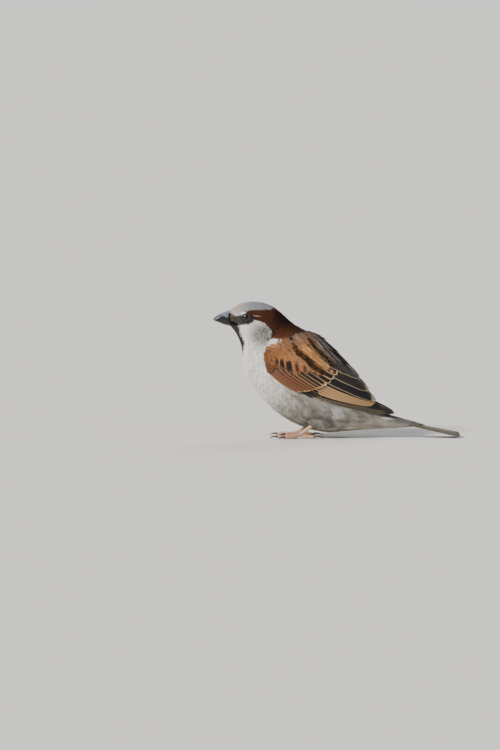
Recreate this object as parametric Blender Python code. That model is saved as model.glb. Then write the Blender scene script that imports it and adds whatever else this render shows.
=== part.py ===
"""House sparrow, adult male, life size: a still model that stands on its own feet and tail.

Frame: metres, +Z up, ground at Z = 0. The bird faces -X, and its left side is -Y. The origin is on
the ground under the middle of its length. The sizes below are in millimetres and in degrees.
"""

import math

import bmesh
import bpy
import numpy as np

MM = 0.001
GAP = 0.3  # clearance between neighbouring solids
SIDES = {"left": -1.0, "right": 1.0}

# Sections of the body from the bill to the tips of the tail coverts. Each lies in a plane through a
# point on the back and one on the underside, and "wide" is how far down that line it is widest.
#             back (x, z)     underside (x, z)  half width  wide
BODY = {
    "bill_base": ((-60.2, 71.2), (-59.8, 62.4), 4.7, 0.50),
    "forehead": ((-54.4, 75.0), (-57.0, 59.0), 7.7, 0.47),
    "crown": ((-45.0, 76.3), (-54.4, 53.6), 9.9, 0.48),
    "occiput": ((-34.5, 72.8), (-53.4, 48.6), 10.9, 0.52),
    "nape": ((-25.0, 64.6), (-53.2, 43.0), 13.0, 0.54),
    "shoulder": ((-15.2, 59.1), (-51.0, 35.0), 17.0, 0.53),
    "chest": ((-4.2, 50.7), (-42.6, 22.4), 20.0, 0.50),
    "belly": ((5.9, 38.0), (-27.5, 9.6), 20.4, 0.50),
    "flank": ((13.0, 26.5), (-8.4, 2.9), 16.6, 0.50),
    "vent": ((19.5, 18.0), (8.0, 3.6), 10.7, 0.50),
    "tail_root": ((28.0, 13.6), (24.5, 4.5), 7.4, 0.50),
    "coverts_tip": ((40.5, 9.9), (41.0, 5.6), 4.4, 0.50),
}
HEAD_ENDS, NECK_ENDS, TRUNK_ENDS = 3.35, 4.45, 8.75  # where the body is parted, in sections

# The folded wing is an arched sheet. Each section runs from its upper edge, over the back, to its
# lower edge on the flank, round an arc between two angles that are counted from the mid-line.
#              upper (x, z)     lower (x, z)   half width  angles
WING = {
    "front": ((-22.0, 59.6), (-40.6, 47.8), 15.5, 24, 98),
    "shoulder": ((-12.9, 58.5), (-40.0, 38.6), 19.2, 18, 110),
    "wrist": ((-4.0, 53.0), (-35.0, 31.0), 21.6, 13, 116),
    "median": ((4.1, 44.9), (-22.8, 26.2), 21.6, 9, 111),
    "greater": ((10.7, 37.8), (-10.2, 21.6), 20.7, 7, 104),
    "tertials": ((16.4, 30.9), (2.2, 18.0), 17.5, 6, 98),
    "secondaries": ((21.0, 24.1), (13.0, 16.1), 12.5, 9, 93),
    "primaries": ((26.2, 19.4), (23.2, 14.2), 8.1, 20, 90),
    "tip": ((32.0, 15.6), (32.6, 13.7), 5.8, 44, 86),
}
WING_THICK = (1.2, 2.2, 2.8, 2.8, 2.2, 1.5, 1.1, 0.9, 0.6)
COVERTS_END = (4.6, 3.3)  # in sections: at the upper edge and at the lower edge
FLIGHT_END = (6.9, 4.5, 0.55)  # the same, and the share of the arc where it starts to run forward

EYE = {"x": -50.6, "y": 7.3, "z": 67.8, "radius": 2.7}

BILL_ROWS = 7
CULMEN = ((-60.7, 71.2), (-64.3, 69.9), (-67.6, 68.0), (-69.7, 66.1))
CUTTING_EDGE = ((-60.7, 65.6), (-64.3, 66.9), (-67.6, 66.2), (-69.7, 65.8))
KEEL = ((-60.7, 62.7), (-63.4, 63.4), (-66.2, 64.5), (-68.6, 65.4))
BILL_HALF_WIDTH = 3.7

TAIL_ROOT, TAIL_DROP, TAIL_LENGTH = (20.0, 12.6), 11.1, 51.2
TAIL_HALF_WIDTH = (4.6, 8.8)  # at the root and at the tip
TAIL_ARCH, TAIL_THICK, TAIL_STEP, TAIL_NOTCH = 2.3, 0.9, 0.2, 1.8
FEATHERS_A_SIDE = 6

LEG_Y = 10.6
FOOT_X = -20.4
ANKLE = (-8.4, 11.6)
TARSUS_RADIUS = 1.15
THIGH_CENTRE, THIGH_AXES, THIGH_TILT = (-9.5, 9.6), (8.6, 4.8, 5.6), -24.0
TOE_RADIUS, TOE_TIP_RADIUS, TOE_SINK = 1.12, 0.8, 0.16
FOOT_RISE = 1.3  # how far the toes climb to the ball of the foot
BALL_RADIUS = 1.75  # of the ball of the foot
GROUND_SIZE = 200.0  # of the block that cuts the soles flat
#         angle from straight ahead, length, pads, claw length
TOES = {
    "middle": (4.0, 13.0, 3, 4.4),
    "inner": (-27.0, 9.6, 2, 3.9),
    "outer": (31.0, 10.4, 3, 3.7),
    "hind": (174.0, 7.6, 1, 5.6),
}

COLOURS = {
    "head": "#6E5143",
    "neck": "#8A8078",
    "trunk": "#B9B4AB",
    "rump": "#9C958A",
    "coverts": "#8A5A3A",
    "flight": "#4A3A2E",
    "tail": "#5A4C42",
    "bill": "#3B3B40",
    "eye": "#120D0A",
    "thigh": "#ADA79C",
    "skin": "#C79A84",
    "claw": "#4B4038",
}


def linear(hex_colour):
    """sRGB hex to the linear red, green and blue that a shader takes."""
    parts = [int(hex_colour[i : i + 2], 16) / 255 for i in (1, 3, 5)]
    return [c / 12.92 if c <= 0.04045 else ((c + 0.055) / 1.055) ** 2.4 for c in parts]


def material(name, roughness=0.75):
    made = bpy.data.materials.get(name) or bpy.data.materials.new(name)
    made.use_nodes = True
    shader = made.node_tree.nodes["Principled BSDF"]
    shader.inputs["Base Color"].default_value = (*linear(COLOURS[name]), 1.0)
    shader.inputs["Roughness"].default_value = roughness
    shader.inputs["Metallic"].default_value = 0.0
    return made


def clear_scene():
    for old in list(bpy.data.objects):
        bpy.data.objects.remove(old)
    for name in ("sparrow", "cutters"):
        bpy.context.scene.collection.children.link(bpy.data.collections.new(name))


def place(mesh, name, finish, roughness=0.75):
    """Puts a mesh in the scene as the part of that name, or as a hidden cutter if it has no finish."""
    made = bpy.data.objects.new(name, mesh)
    bpy.data.collections["sparrow" if finish else "cutters"].objects.link(made)
    if finish:
        mesh.materials.append(material(finish, roughness))
        mesh.shade_smooth()
        mesh.set_sharp_from_angle(angle=math.radians(40))
    else:
        made.hide_render = True
        made.display_type = "WIRE"
    return made


def combine(part, other, operation="DIFFERENCE"):
    cut = part.modifiers.new(other.name, "BOOLEAN")
    cut.operation = operation
    cut.object = other
    cut.solver = "EXACT"


def spline(knots, at):
    """A natural cubic spline through the knots, which stand at 0, 1, 2 and so on."""
    knots, at = np.asarray(knots, float), np.asarray(at, float)
    n = len(knots)
    rows = np.eye(n)
    for i in range(1, n - 1):
        rows[i, i - 1 : i + 2] = (1, 4, 1)
    bend = np.zeros_like(knots)
    bend[1:-1] = 6 * (knots[2:] - 2 * knots[1:-1] + knots[:-2])
    bend = np.linalg.solve(rows, bend)
    i = np.clip(at.astype(int), 0, n - 2)
    t = (at - i).reshape(at.shape + (1,) * (knots.ndim - 1))
    a, b = knots[i], knots[i + 1]
    return (
        a * (1 - t)
        + b * t
        + ((1 - t) ** 3 - (1 - t)) * bend[i] / 6
        + (t**3 - t) * bend[i + 1] / 6
    )


def mesh_from(points, faces, name):
    """A closed mesh from points in millimetres, welded and with its faces turned outwards."""
    shape = bmesh.new()
    verts = [shape.verts.new(p) for p in np.asarray(points, float).reshape(-1, 3) * MM]
    for face in faces:
        shape.faces.new([verts[i] for i in face])
    bmesh.ops.remove_doubles(shape, verts=shape.verts, dist=0.02 * MM)
    bmesh.ops.recalc_face_normals(shape, faces=shape.faces)
    mesh = bpy.data.meshes.new(name)
    shape.to_mesh(mesh)
    shape.free()
    return mesh


def loft(rings, name):
    """A solid through closed rings of equally many points, with a flat cap at each end."""
    rings = np.asarray(rings, float)
    rows, count = rings.shape[:2]
    faces = [
        (r * count + i, r * count + j, (r + 1) * count + j, (r + 1) * count + i)
        for r in range(rows - 1)
        for i, j in zip(range(count), [*range(1, count), 0])
    ]
    faces += [tuple(range(count)), tuple(range((rows - 1) * count, rows * count))]
    return mesh_from(rings, faces, name)


def slab(top, bottom, name):
    """A solid between two sheets of the same grid, closed along their rims."""
    rows, count = top.shape[:2]
    index = np.arange(rows * count).reshape(rows, count)
    lower = index + rows * count
    faces = []
    for grid in (index, lower):
        quads = np.stack([grid[:-1, :-1], grid[1:, :-1], grid[1:, 1:], grid[:-1, 1:]], -1)
        faces += [tuple(q) for q in quads.reshape(-1, 4)]
    rims = (index[0], index[-1], index[:, 0], index[:, -1])
    lower_rims = (lower[0], lower[-1], lower[:, 0], lower[:, -1])
    for rim, under in zip(rims, lower_rims):
        faces += list(zip(rim[:-1], rim[1:], under[1:], under[:-1]))
    return mesh_from(np.concatenate([top.reshape(-1, 3), bottom.reshape(-1, 3)]), faces, name)


# ---------------------------------------------------------------- body


def body_ring(at, count, grow=0.0):
    """Rings of the body at these sections: two half ellipses that meet where the body is widest."""
    at = np.atleast_1d(at)
    back = spline([s[0] for s in BODY.values()], at)[:, None]
    under = spline([s[1] for s in BODY.values()], at)[:, None]
    half = spline([s[2] for s in BODY.values()], at)[:, None] + grow
    wide = spline([s[3] for s in BODY.values()], at)[:, None]
    turn = np.linspace(0, 2 * math.pi, count, endpoint=False)[None]
    down = wide - np.cos(turn) * np.where(np.cos(turn) > 0, wide, 1 - wide)
    side = back + (under - back) * down[..., None]
    return np.stack([side[..., 0], half * np.sin(turn), side[..., 1]], -1)


def body_parts():
    """Head, neck, trunk and rump: lengths of one smooth form, parted by thin cuts."""
    last = len(BODY) - 1
    thin = 0.035  # half of a cut, in sections
    made = {}
    for name, start, end, rows, finish in (
        ("head", 0.0, HEAD_ENDS - thin, 10, "head"),
        ("neck", HEAD_ENDS + thin, NECK_ENDS - thin, 4, "neck"),
        ("trunk", NECK_ENDS + thin, TRUNK_ENDS - thin, 12, "trunk"),
        ("rump", TRUNK_ENDS + thin, last, 7, "rump"),
    ):
        mesh = loft(body_ring(np.linspace(start, end, rows), 26), name)
        made[name] = place(mesh, name, finish)
    return made


# ---------------------------------------------------------------- wings


def wing_points(section, arc, side, raise_by=0.0):
    """The wing's outer sheet: arc 0 is the upper edge and 1 the lower one, each section an ellipse."""
    upper = spline([s[0] for s in WING.values()], section)
    lower = spline([s[1] for s in WING.values()], section)
    half = spline([s[2] for s in WING.values()], section)
    start = np.radians(spline([s[3] for s in WING.values()], section))
    end = np.radians(spline([s[4] for s in WING.values()], section))
    turn = start + (end - start) * arc
    share = (np.cos(start) - np.cos(turn)) / (np.cos(start) - np.cos(end))
    flat = upper + (lower - upper) * share[..., None]
    sheet = np.stack([flat[..., 0], half * np.sin(turn), flat[..., 1]], -1)
    out = np.cross(np.gradient(sheet, axis=0), np.gradient(sheet, axis=1))
    out /= np.linalg.norm(out, axis=-1, keepdims=True)
    raised = sheet + out * np.asarray(raise_by)[..., None] * np.sign(out[..., 1:2].mean())
    return raised * (1, side, 1)


def wing_patch(starts, ends, rows, columns, side, name, spread=0.0, cutter=False):
    """A piece of the wing between two lines of sections, as thick as the wing is there."""
    arc = np.linspace(-spread, 1 + spread, columns)[None]
    first, last = starts(arc), ends(arc)
    along = np.linspace(0, 1, rows)[:, None]
    section = first + (last - first) * along
    section, arc = np.broadcast_arrays(section, arc)
    thick = spline(WING_THICK, section)
    if cutter:
        outer = wing_points(section, arc, side, 5.0 * np.ones_like(section))
        inner = wing_points(section, arc, side, -(thick + GAP))
    else:
        outer = wing_points(section, arc, side, np.zeros_like(section))
        inner = wing_points(section, arc, side, -thick)
    return slab(outer, inner, name)


def coverts_end(arc):
    return COVERTS_END[0] + (COVERTS_END[1] - COVERTS_END[0]) * arc


def flight_end(arc):
    turn_down = np.clip((arc - FLIGHT_END[2]) / (1 - FLIGHT_END[2]), 0, 1)
    return FLIGHT_END[0] + (FLIGHT_END[1] - FLIGHT_END[0]) * turn_down


def wing_parts(name, side):
    last = len(WING) - 1
    cut = 0.075  # half of the cut between two pieces, in sections
    for part, starts, ends, rows, columns, finish in (
        ("coverts", lambda a: 0 * a, lambda a: coverts_end(a) - cut, 10, 10, "coverts"),
        ("secondaries", lambda a: coverts_end(a) + cut, lambda a: flight_end(a) - cut, 7, 10, "flight"),
        ("primaries", lambda a: flight_end(a) + cut, lambda a: 0 * a + last, 7, 10, "flight"),
    ):
        label = f"wing_{name}_{part}"
        place(wing_patch(starts, ends, rows, columns, side, label), label, finish)
    label = f"wing_{name}_cutter"
    mesh = wing_patch(
        lambda a: 0 * a - 0.06, lambda a: 0 * a + last, 17, 9, side, label, 0.02, cutter=True
    )
    return place(mesh, label, None)


# ---------------------------------------------------------------- head details


def eye(name, side):
    """The eyeball, and the slightly larger ball that clears its socket in the head."""
    centre = (EYE["x"] * MM, side * EYE["y"] * MM, EYE["z"] * MM)
    made = []
    for label, radius, finish in ((f"eye_{name}", 0.0, "eye"), (f"socket_{name}", GAP, None)):
        mesh = bpy.data.meshes.new(label)
        ball = bmesh.new()
        bmesh.ops.create_uvsphere(
            ball, u_segments=14, v_segments=8, radius=(EYE["radius"] + radius) * MM
        )
        ball.to_mesh(mesh)
        ball.free()
        part = place(mesh, label, finish, 0.15)
        part.location = centre
        part.rotation_euler = (math.radians(90), 0, 0)
        made.append(part)
    return made[1]


def bill_half(upper_line, lower_line, width, name, arch_up):
    """One mandible: flat where the two meet, round outside, drawn out to a point."""
    at = np.linspace(0, 1, BILL_ROWS) ** 0.9 * 3
    high, low = spline(upper_line, at), spline(lower_line, at)
    half = width * np.sqrt(np.clip(1 - (at / 3.12) ** 1.7, 0, 1))
    turn = np.linspace(0, math.pi, 13)
    across = half[:, None] * np.cos(turn)
    lift = np.sin(turn) ** 0.85
    x = high[:, 0] + (low[:, 0] - high[:, 0]) * (0.0 if arch_up else 1.0)
    if arch_up:
        z = low[:, 1, None] + (high[:, 1] - low[:, 1])[:, None] * lift
    else:
        z = high[:, 1, None] - (high[:, 1] - low[:, 1])[:, None] * lift
    rings = np.stack([np.repeat(x[:, None], len(turn), 1), across, z], -1)
    return place(loft(rings, name), name, "bill", 0.35)


def bill():
    bill_half(CULMEN, CUTTING_EDGE, BILL_HALF_WIDTH, "bill_upper", True)
    lower_edge = [(x, z - GAP) for x, z in CUTTING_EDGE]
    bill_half(lower_edge, KEEL, BILL_HALF_WIDTH * 0.93, "bill_lower", False)


# ---------------------------------------------------------------- tail


def tail(name, grow=0.0):
    """The closed tail: six vanes a side that overlap like tiles, arched across and laid backwards."""
    edges = np.linspace(0, 1, FEATHERS_A_SIDE + 1)
    inner, outer = edges[:-1] + 0.004, edges[1:] - 0.004
    middles = (inner + outer) / 2
    half = np.stack([inner, middles, outer], 1).ravel()
    tilt = np.tile([-TAIL_STEP, 0.0, TAIL_STEP], FEATHERS_A_SIDE)
    tip = np.tile([-0.9, 0.0, -0.7], FEATHERS_A_SIDE)
    across = np.concatenate([-half[::-1], half])
    tilt, tip = np.concatenate([tilt[::-1], tilt]), np.concatenate([tip[::-1], tip])
    along = np.linspace(0, 1, 5)[:, None]
    end = TAIL_LENGTH - TAIL_NOTCH * (1 - np.abs(across)) + tip
    far = along * (end * along**3 + TAIL_LENGTH * (1 - along**3)) + grow * (2 * along - 1)
    width = TAIL_HALF_WIDTH[0] + (TAIL_HALF_WIDTH[1] - TAIL_HALF_WIDTH[0]) * along**0.8
    high = -TAIL_ARCH * (0.7 + 0.3 * along) * (across * (width + grow) / width) ** 2
    drop = math.radians(TAIL_DROP)

    def sheet(lift):
        up = high + lift
        x = TAIL_ROOT[0] + far * math.cos(drop) + up * math.sin(drop)
        z = TAIL_ROOT[1] - far * math.sin(drop) + up * math.cos(drop)
        return np.stack([x, (width + grow) * across, np.maximum(z, 0.0 if not grow else z)], -1)

    top = sheet(tilt + 1.3 * grow)
    bottom = sheet(-TAIL_THICK * (1.6 - 0.6 * along) + tilt * 0.8 - 1.5 * grow)
    return slab(top, bottom, name)


# ---------------------------------------------------------------- legs


def tube(path, radii, name, sides=8):
    """A solid round a path, with its own radius at each point. Each ring stands across the path."""
    path, radii = np.asarray(path, float), np.asarray(radii, float)
    way = np.gradient(path, axis=0)
    way /= np.linalg.norm(way, axis=1, keepdims=True)
    level = np.cross(way, (0.0, 0.0, 1.0))
    level /= np.linalg.norm(level, axis=1, keepdims=True)
    upright = np.cross(level, way)
    turn = np.linspace(0, 2 * math.pi, sides, endpoint=False) + math.pi / sides
    rings = (
        path[:, None]
        + radii[:, None, None] * np.cos(turn)[None, :, None] * level[:, None]
        + radii[:, None, None] * np.sin(turn)[None, :, None] * upright[:, None]
    )
    return loft(rings, name)


def toe_tube(kind, side, name, grow=0.0):
    """A toe from the ball of the foot to the root of its claw, swollen at its pads."""
    angle, length, pads, _ = TOES[kind]
    way = math.radians(angle)
    t = np.linspace(0, 1, 3 * pads + 2)
    radius = (TOE_RADIUS + (TOE_TIP_RADIUS - TOE_RADIUS) * t) * (
        1 + 0.09 * np.cos(2 * math.pi * pads * t)
    )
    radius[-1] *= 0.72
    far = t * length
    x = FOOT_X - far * math.cos(way)
    y = side * (LEG_Y + far * math.sin(way))
    path = np.stack([x, y, radius.max() - TOE_SINK + FOOT_RISE * (1 - t) ** 3], 1)
    return tube(path, radius + grow, name)


def claw(kind, side, name):
    """A claw that leaves the toe level, arches over and comes down to a point near the ground."""
    angle, length, _, reach = TOES[kind]
    way = math.radians(angle)
    t = np.linspace(0, 1, 7)
    far = length + GAP + t * reach
    height = 0.95 + 0.75 * np.sin(math.pi * t**0.9) * (1 - 0.35 * t) - 0.72 * t**1.6
    radius = 0.6 * (1 - t) ** 0.75 + 0.1
    path = np.stack(
        [FOOT_X - far * math.cos(way), side * (LEG_Y + far * math.sin(way)), height], 1
    )
    return tube(path, radius, name, 8)


def thigh_mesh(side, name, grow=0.0):
    ball = bmesh.new()
    bmesh.ops.create_uvsphere(ball, u_segments=14, v_segments=8, radius=1.0)
    mesh = bpy.data.meshes.new(name)
    ball.to_mesh(mesh)
    ball.free()
    points = np.empty(len(mesh.vertices) * 3)
    mesh.vertices.foreach_get("co", points)
    points = points.reshape(-1, 3) * (np.array(THIGH_AXES) + grow)
    tilt = math.radians(THIGH_TILT)
    x = points[:, 0] * math.cos(tilt) - points[:, 2] * math.sin(tilt)
    z = points[:, 0] * math.sin(tilt) + points[:, 2] * math.cos(tilt)
    y = points[:, 1] + side * (LEG_Y + 0.6)
    placed = np.stack([x + THIGH_CENTRE[0], y, z + THIGH_CENTRE[1]], 1) * MM
    mesh.vertices.foreach_set("co", placed.ravel())
    return mesh


def tarsus_mesh(side, name, grow=0.0):
    t = np.linspace(0, 1, 7)
    knob = 1 + 0.22 * np.exp(-(((t - 1) / 0.14) ** 2))
    ankle = np.array([ANKLE[0], side * LEG_Y, ANKLE[1]])
    foot = np.array([FOOT_X, side * LEG_Y, TOE_RADIUS + FOOT_RISE])
    path = ankle + (foot - ankle) * t[:, None]
    return tube(path, TARSUS_RADIUS * knob + grow, name)


def ball_of_foot(side, name, radius):
    mesh = bpy.data.meshes.new(name)
    ball = bmesh.new()
    bmesh.ops.create_uvsphere(ball, u_segments=10, v_segments=6, radius=radius * MM)
    ball.to_mesh(mesh)
    ball.free()
    part = place(mesh, name, None)
    part.location = (FOOT_X * MM, side * LEG_Y * MM, (TOE_RADIUS + FOOT_RISE) * MM)
    return part


def ground_cutter():
    """A block under the ground that gives the soles their flats."""
    mesh = bpy.data.meshes.new("ground")
    block = bmesh.new()
    bmesh.ops.create_cube(block, size=1.0)
    block.to_mesh(mesh)
    block.free()
    for vert in mesh.vertices:
        vert.co *= GROUND_SIZE * MM
        vert.co.z -= GROUND_SIZE / 2 * MM
    return place(mesh, "ground", None)


def leg_parts(name, side, ground):
    """Thigh, tarsus, foot and claws of one leg, and the cutters that clear them in the trunk."""
    foot = place(toe_tube("middle", side, f"foot_{name}"), f"foot_{name}", "skin", 0.55)
    for kind in ("inner", "outer", "hind"):
        label = f"toe_{kind}_{name}"
        combine(foot, place(toe_tube(kind, side, label), label, None), "UNION")
    combine(foot, ball_of_foot(side, f"ball_{name}", BALL_RADIUS), "UNION")
    combine(foot, ground)
    for kind in TOES:
        label = f"claw_{name}_{kind}"
        place(claw(kind, side, label), label, "claw", 0.4)
    thigh = place(thigh_mesh(side, f"thigh_{name}"), f"thigh_{name}", "thigh")
    tarsus = place(tarsus_mesh(side, f"tarsus_{name}"), f"tarsus_{name}", "skin", 0.55)
    combine(tarsus, ball_of_foot(side, f"ball_clear_{name}", BALL_RADIUS + GAP))
    for kind in TOES:
        label = f"toe_{kind}_clear_{name}"
        combine(tarsus, place(toe_tube(kind, side, label, GAP), label, None))
    tarsus_clear = place(
        tarsus_mesh(side, f"tarsus_clear_{name}", GAP), f"tarsus_clear_{name}", None
    )
    combine(thigh, tarsus_clear)
    thigh_clear = place(thigh_mesh(side, f"thigh_clear_{name}", GAP), f"thigh_clear_{name}", None)
    return [thigh_clear, tarsus_clear]


def main():
    clear_scene()
    body = body_parts()
    ground = ground_cutter()
    for name, side in SIDES.items():
        combine(body["head"], eye(name, side))
        wing = wing_parts(name, side)
        for part in ("neck", "trunk", "rump"):
            combine(body[part], wing)
        for cutter in leg_parts(name, side, ground):
            combine(body["trunk"], cutter)
    bill()
    place(tail("tail"), "tail", "tail")
    combine(body["rump"], place(tail("tail_cutter", GAP), "tail_cutter", None))
    combine(body["trunk"], bpy.data.objects["tail_cutter"])


main()
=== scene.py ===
"""House sparrow, adult male: skin, plumage, eyes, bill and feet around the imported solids.

Lengths are in millimetres until a mesh is made. The bird faces -X, and its left side is -Y. The body
and the folded wing are the same smooth surfaces as the solids have, so every feather is laid on them.
"""

import math

import bmesh
import bpy
import numpy as np
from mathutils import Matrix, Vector


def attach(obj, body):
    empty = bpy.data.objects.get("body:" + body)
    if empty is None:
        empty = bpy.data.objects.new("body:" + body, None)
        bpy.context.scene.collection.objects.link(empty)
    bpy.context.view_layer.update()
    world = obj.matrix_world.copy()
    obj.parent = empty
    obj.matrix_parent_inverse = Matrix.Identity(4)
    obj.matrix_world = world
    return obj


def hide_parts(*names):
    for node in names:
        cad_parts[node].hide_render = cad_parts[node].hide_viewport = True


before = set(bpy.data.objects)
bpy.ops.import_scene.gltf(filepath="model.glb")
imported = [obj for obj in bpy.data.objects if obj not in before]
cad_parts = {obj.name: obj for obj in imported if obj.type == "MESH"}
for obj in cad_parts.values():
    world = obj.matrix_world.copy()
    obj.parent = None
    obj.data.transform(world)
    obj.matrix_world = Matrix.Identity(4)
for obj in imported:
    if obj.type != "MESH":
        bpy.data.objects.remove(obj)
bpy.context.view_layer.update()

MM = 0.001
TAU = 2 * math.pi
SIDES = {"left": -1, "right": 1}
STEP = 1e-3  # between two parameters of a surface, for its derivatives
R2 = (0.7548776662466927, 0.5698402909980532)  # the two steps of an R2 sequence

# Sections of the body: back (x, z), underside (x, z), half width, how far down it is widest.
BODY = {
    "bill_base": ((-60.2, 71.2), (-59.8, 62.4), 4.7, 0.50),
    "forehead": ((-54.4, 75.0), (-57.0, 59.0), 7.7, 0.47),
    "crown": ((-45.0, 76.3), (-54.4, 53.6), 9.9, 0.48),
    "occiput": ((-34.5, 72.8), (-53.4, 48.6), 10.9, 0.52),
    "nape": ((-25.0, 64.6), (-53.2, 43.0), 13.0, 0.54),
    "shoulder": ((-15.2, 59.1), (-51.0, 35.0), 17.0, 0.53),
    "chest": ((-4.2, 50.7), (-42.6, 22.4), 20.0, 0.50),
    "belly": ((5.9, 38.0), (-27.5, 9.6), 20.4, 0.50),
    "flank": ((13.0, 26.5), (-8.4, 2.9), 16.6, 0.50),
    "vent": ((19.5, 18.0), (8.0, 3.6), 10.7, 0.50),
    "tail_root": ((28.0, 13.6), (24.5, 4.5), 7.4, 0.50),
    "coverts_tip": ((40.5, 9.9), (41.0, 5.6), 4.4, 0.50),
}
# At each of those sections: a feather's length, and how deep the coat is over the skin.
COAT_LENGTH = (1.3, 1.8, 2.6, 3.4, 4.4, 5.4, 6.2, 7.0, 8.0, 9.5, 11.0, 9.0)
COAT_DEPTH = (0.35, 0.5, 0.7, 0.9, 1.1, 1.3, 1.4, 1.4, 1.3, 1.2, 1.0, 0.8)
SHAFT_WIDTH = 0.26  # of a wing or tail feather
BAKE_PATCH = 0.0015  # half the side of a small feather's patch on the bake map

# Sections of the folded wing: upper edge (x, z), lower edge (x, z), half width, the arc's two angles.
WING = {
    "front": ((-22.0, 59.6), (-40.6, 47.8), 15.5, 24, 98),
    "shoulder": ((-12.9, 58.5), (-40.0, 38.6), 19.2, 18, 110),
    "wrist": ((-4.0, 53.0), (-35.0, 31.0), 21.6, 13, 116),
    "median": ((4.1, 44.9), (-22.8, 26.2), 21.6, 9, 111),
    "greater": ((10.7, 37.8), (-10.2, 21.6), 20.7, 7, 104),
    "tertials": ((16.4, 30.9), (2.2, 18.0), 17.5, 6, 98),
    "secondaries": ((21.0, 24.1), (13.0, 16.1), 12.5, 9, 93),
    "primaries": ((26.2, 19.4), (23.2, 14.2), 8.1, 20, 90),
    "tip": ((32.0, 15.6), (32.6, 13.7), 5.8, 44, 86),
}
COVER_REACH = 3.6  # from a place on the body to the wing that covers it
# The arm under the coverts: its grid and the wing's section that it ends at, then how deep its upper
# sheet lies, how deep its lower one does, and how much less deep that is at its end.
PAD_ROWS, PAD_COLUMNS, PAD_END = 30, 20, 5.4
PAD_TOP, PAD_UNDER, PAD_TAPER = 1.5, 4.4, 2.2

# The eye's middle and radius, the lid's angle from its axis, and how far the opening is flattened.
EYE = {"x": -50.6, "y": 7.3, "z": 67.8, "radius": 2.62, "lid": 47, "squint": 0.14}
EYE_SIDES, LID_POINTS = 48, 12  # points round the eye, and round a section of its lid

CULMEN = ((-60.7, 71.2), (-64.3, 69.9), (-67.6, 68.0), (-69.7, 66.1))
CUTTING_EDGE = ((-60.7, 65.6), (-64.3, 66.9), (-67.6, 66.2), (-69.7, 65.8))
KEEL = ((-60.7, 62.7), (-63.4, 63.4), (-66.2, 64.5), (-68.6, 65.4))
BILL_HALF_WIDTH = 3.7

TAIL_ROOT, TAIL_DROP, TAIL_LENGTH = (20.0, 12.6), 11.1, 51.2
TAIL_HALF_WIDTH = (4.6, 8.8)  # at the root and at the tip
TAIL_ARCH, TAIL_NOTCH = 2.3, 1.8

LEG_Y, FOOT_X, ANKLE = 10.6, -20.4, (-8.4, 11.6)
THIGH_CENTRE, THIGH_AXES, THIGH_TILT = (-10.2, 10.4), (8.0, 4.4, 4.9), -20.0
TARSUS_RADIUS, TOE_RADIUS, TOE_TIP_RADIUS, TOE_SINK, FOOT_RISE = 1.15, 1.12, 0.8, 0.16, 1.3
LEG_SIDES = 20
SCUTE = 0.95  # length of one scale on the front of the tarsus and the top of a toe
#         angle from straight ahead, length, pads, claw length
TOES = {
    "middle": (4.0, 13.0, 3, 4.4),
    "inner": (-27.0, 9.6, 2, 3.9),
    "outer": (31.0, 10.4, 3, 3.7),
    "hind": (174.0, 7.6, 1, 5.6),
}

# ---------------------------------------------------------------- numbers and colours


def rgb(hex_colour):
    """sRGB hex to linear red, green and blue."""
    parts = np.array([int(hex_colour[i : i + 2], 16) / 255 for i in (1, 3, 5)])
    return np.where(parts <= 0.04045, parts / 12.92, ((parts + 0.055) / 1.055) ** 2.4)


def ramp(x, low, high):
    """0 below low, 1 above high, and a smooth rise between them."""
    t = np.clip((x - low) / (high - low), 0, 1)
    return t * t * (3 - 2 * t)


def mix(a, b, share):
    """The colour that lies this share of the way from a to b."""
    return a + (b - a) * np.asarray(share)[..., None]


def through(points, at):
    """The broken line through (x, y) points, read at these x."""
    xs, ys = zip(*points)
    return np.interp(at, xs, ys)


def unit(v):
    """The same directions with a length of one."""
    return v / np.linalg.norm(v, axis=-1, keepdims=True)


def mottle(p, wave, seed):
    """Soft patches from -1 to 1, about a wave's length across: eight plane waves in random directions."""
    rng = np.random.default_rng(seed)
    ways = unit(rng.normal(size=(8, 3))) * TAU / (wave * rng.uniform(0.7, 1.5, (8, 1)))
    return np.clip(np.sin(p @ ways.T + rng.uniform(0, TAU, 8)).sum(-1) / 3.2, -1, 1)


def evenly(first, count):
    """Two shares for each of count places, from the R2 sequence, which fills the unit square evenly."""
    i = np.arange(first, first + count)
    return i * R2[0] % 1, i * R2[1] % 1


def spline(knots, at):
    """A natural cubic spline through the knots, which stand at 0, 1, 2 and so on."""
    knots, at = np.asarray(knots, float), np.asarray(at, float)
    n = len(knots)
    rows = np.eye(n)
    for i in range(1, n - 1):
        rows[i, i - 1 : i + 2] = (1, 4, 1)
    bend = np.zeros_like(knots)
    bend[1:-1] = 6 * (knots[2:] - 2 * knots[1:-1] + knots[:-2])
    bend = np.linalg.solve(rows, bend)
    i = np.clip(at.astype(int), 0, n - 2)
    t = (at - i).reshape(at.shape + (1,) * (knots.ndim - 1))
    a, b = knots[i], knots[i + 1]
    inner = ((1 - t) ** 3 - (1 - t)) * bend[i] / 6 + (t**3 - t) * bend[i + 1] / 6
    return a * (1 - t) + b * t + inner


# ---------------------------------------------------------------- the surfaces that feathers lie on


def body(s, a):
    """The body at section s and angle a from the back: two half ellipses meet where it is widest."""
    back, under, half, wide = (spline([k[i] for k in BODY.values()], s) for i in range(4))
    down = wide - np.cos(a) * np.where(np.cos(a) > 0, wide, 1 - wide)
    side = back + (under - back) * down[..., None]
    return np.stack([side[..., 0], half * np.sin(a), side[..., 1]], -1)


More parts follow.
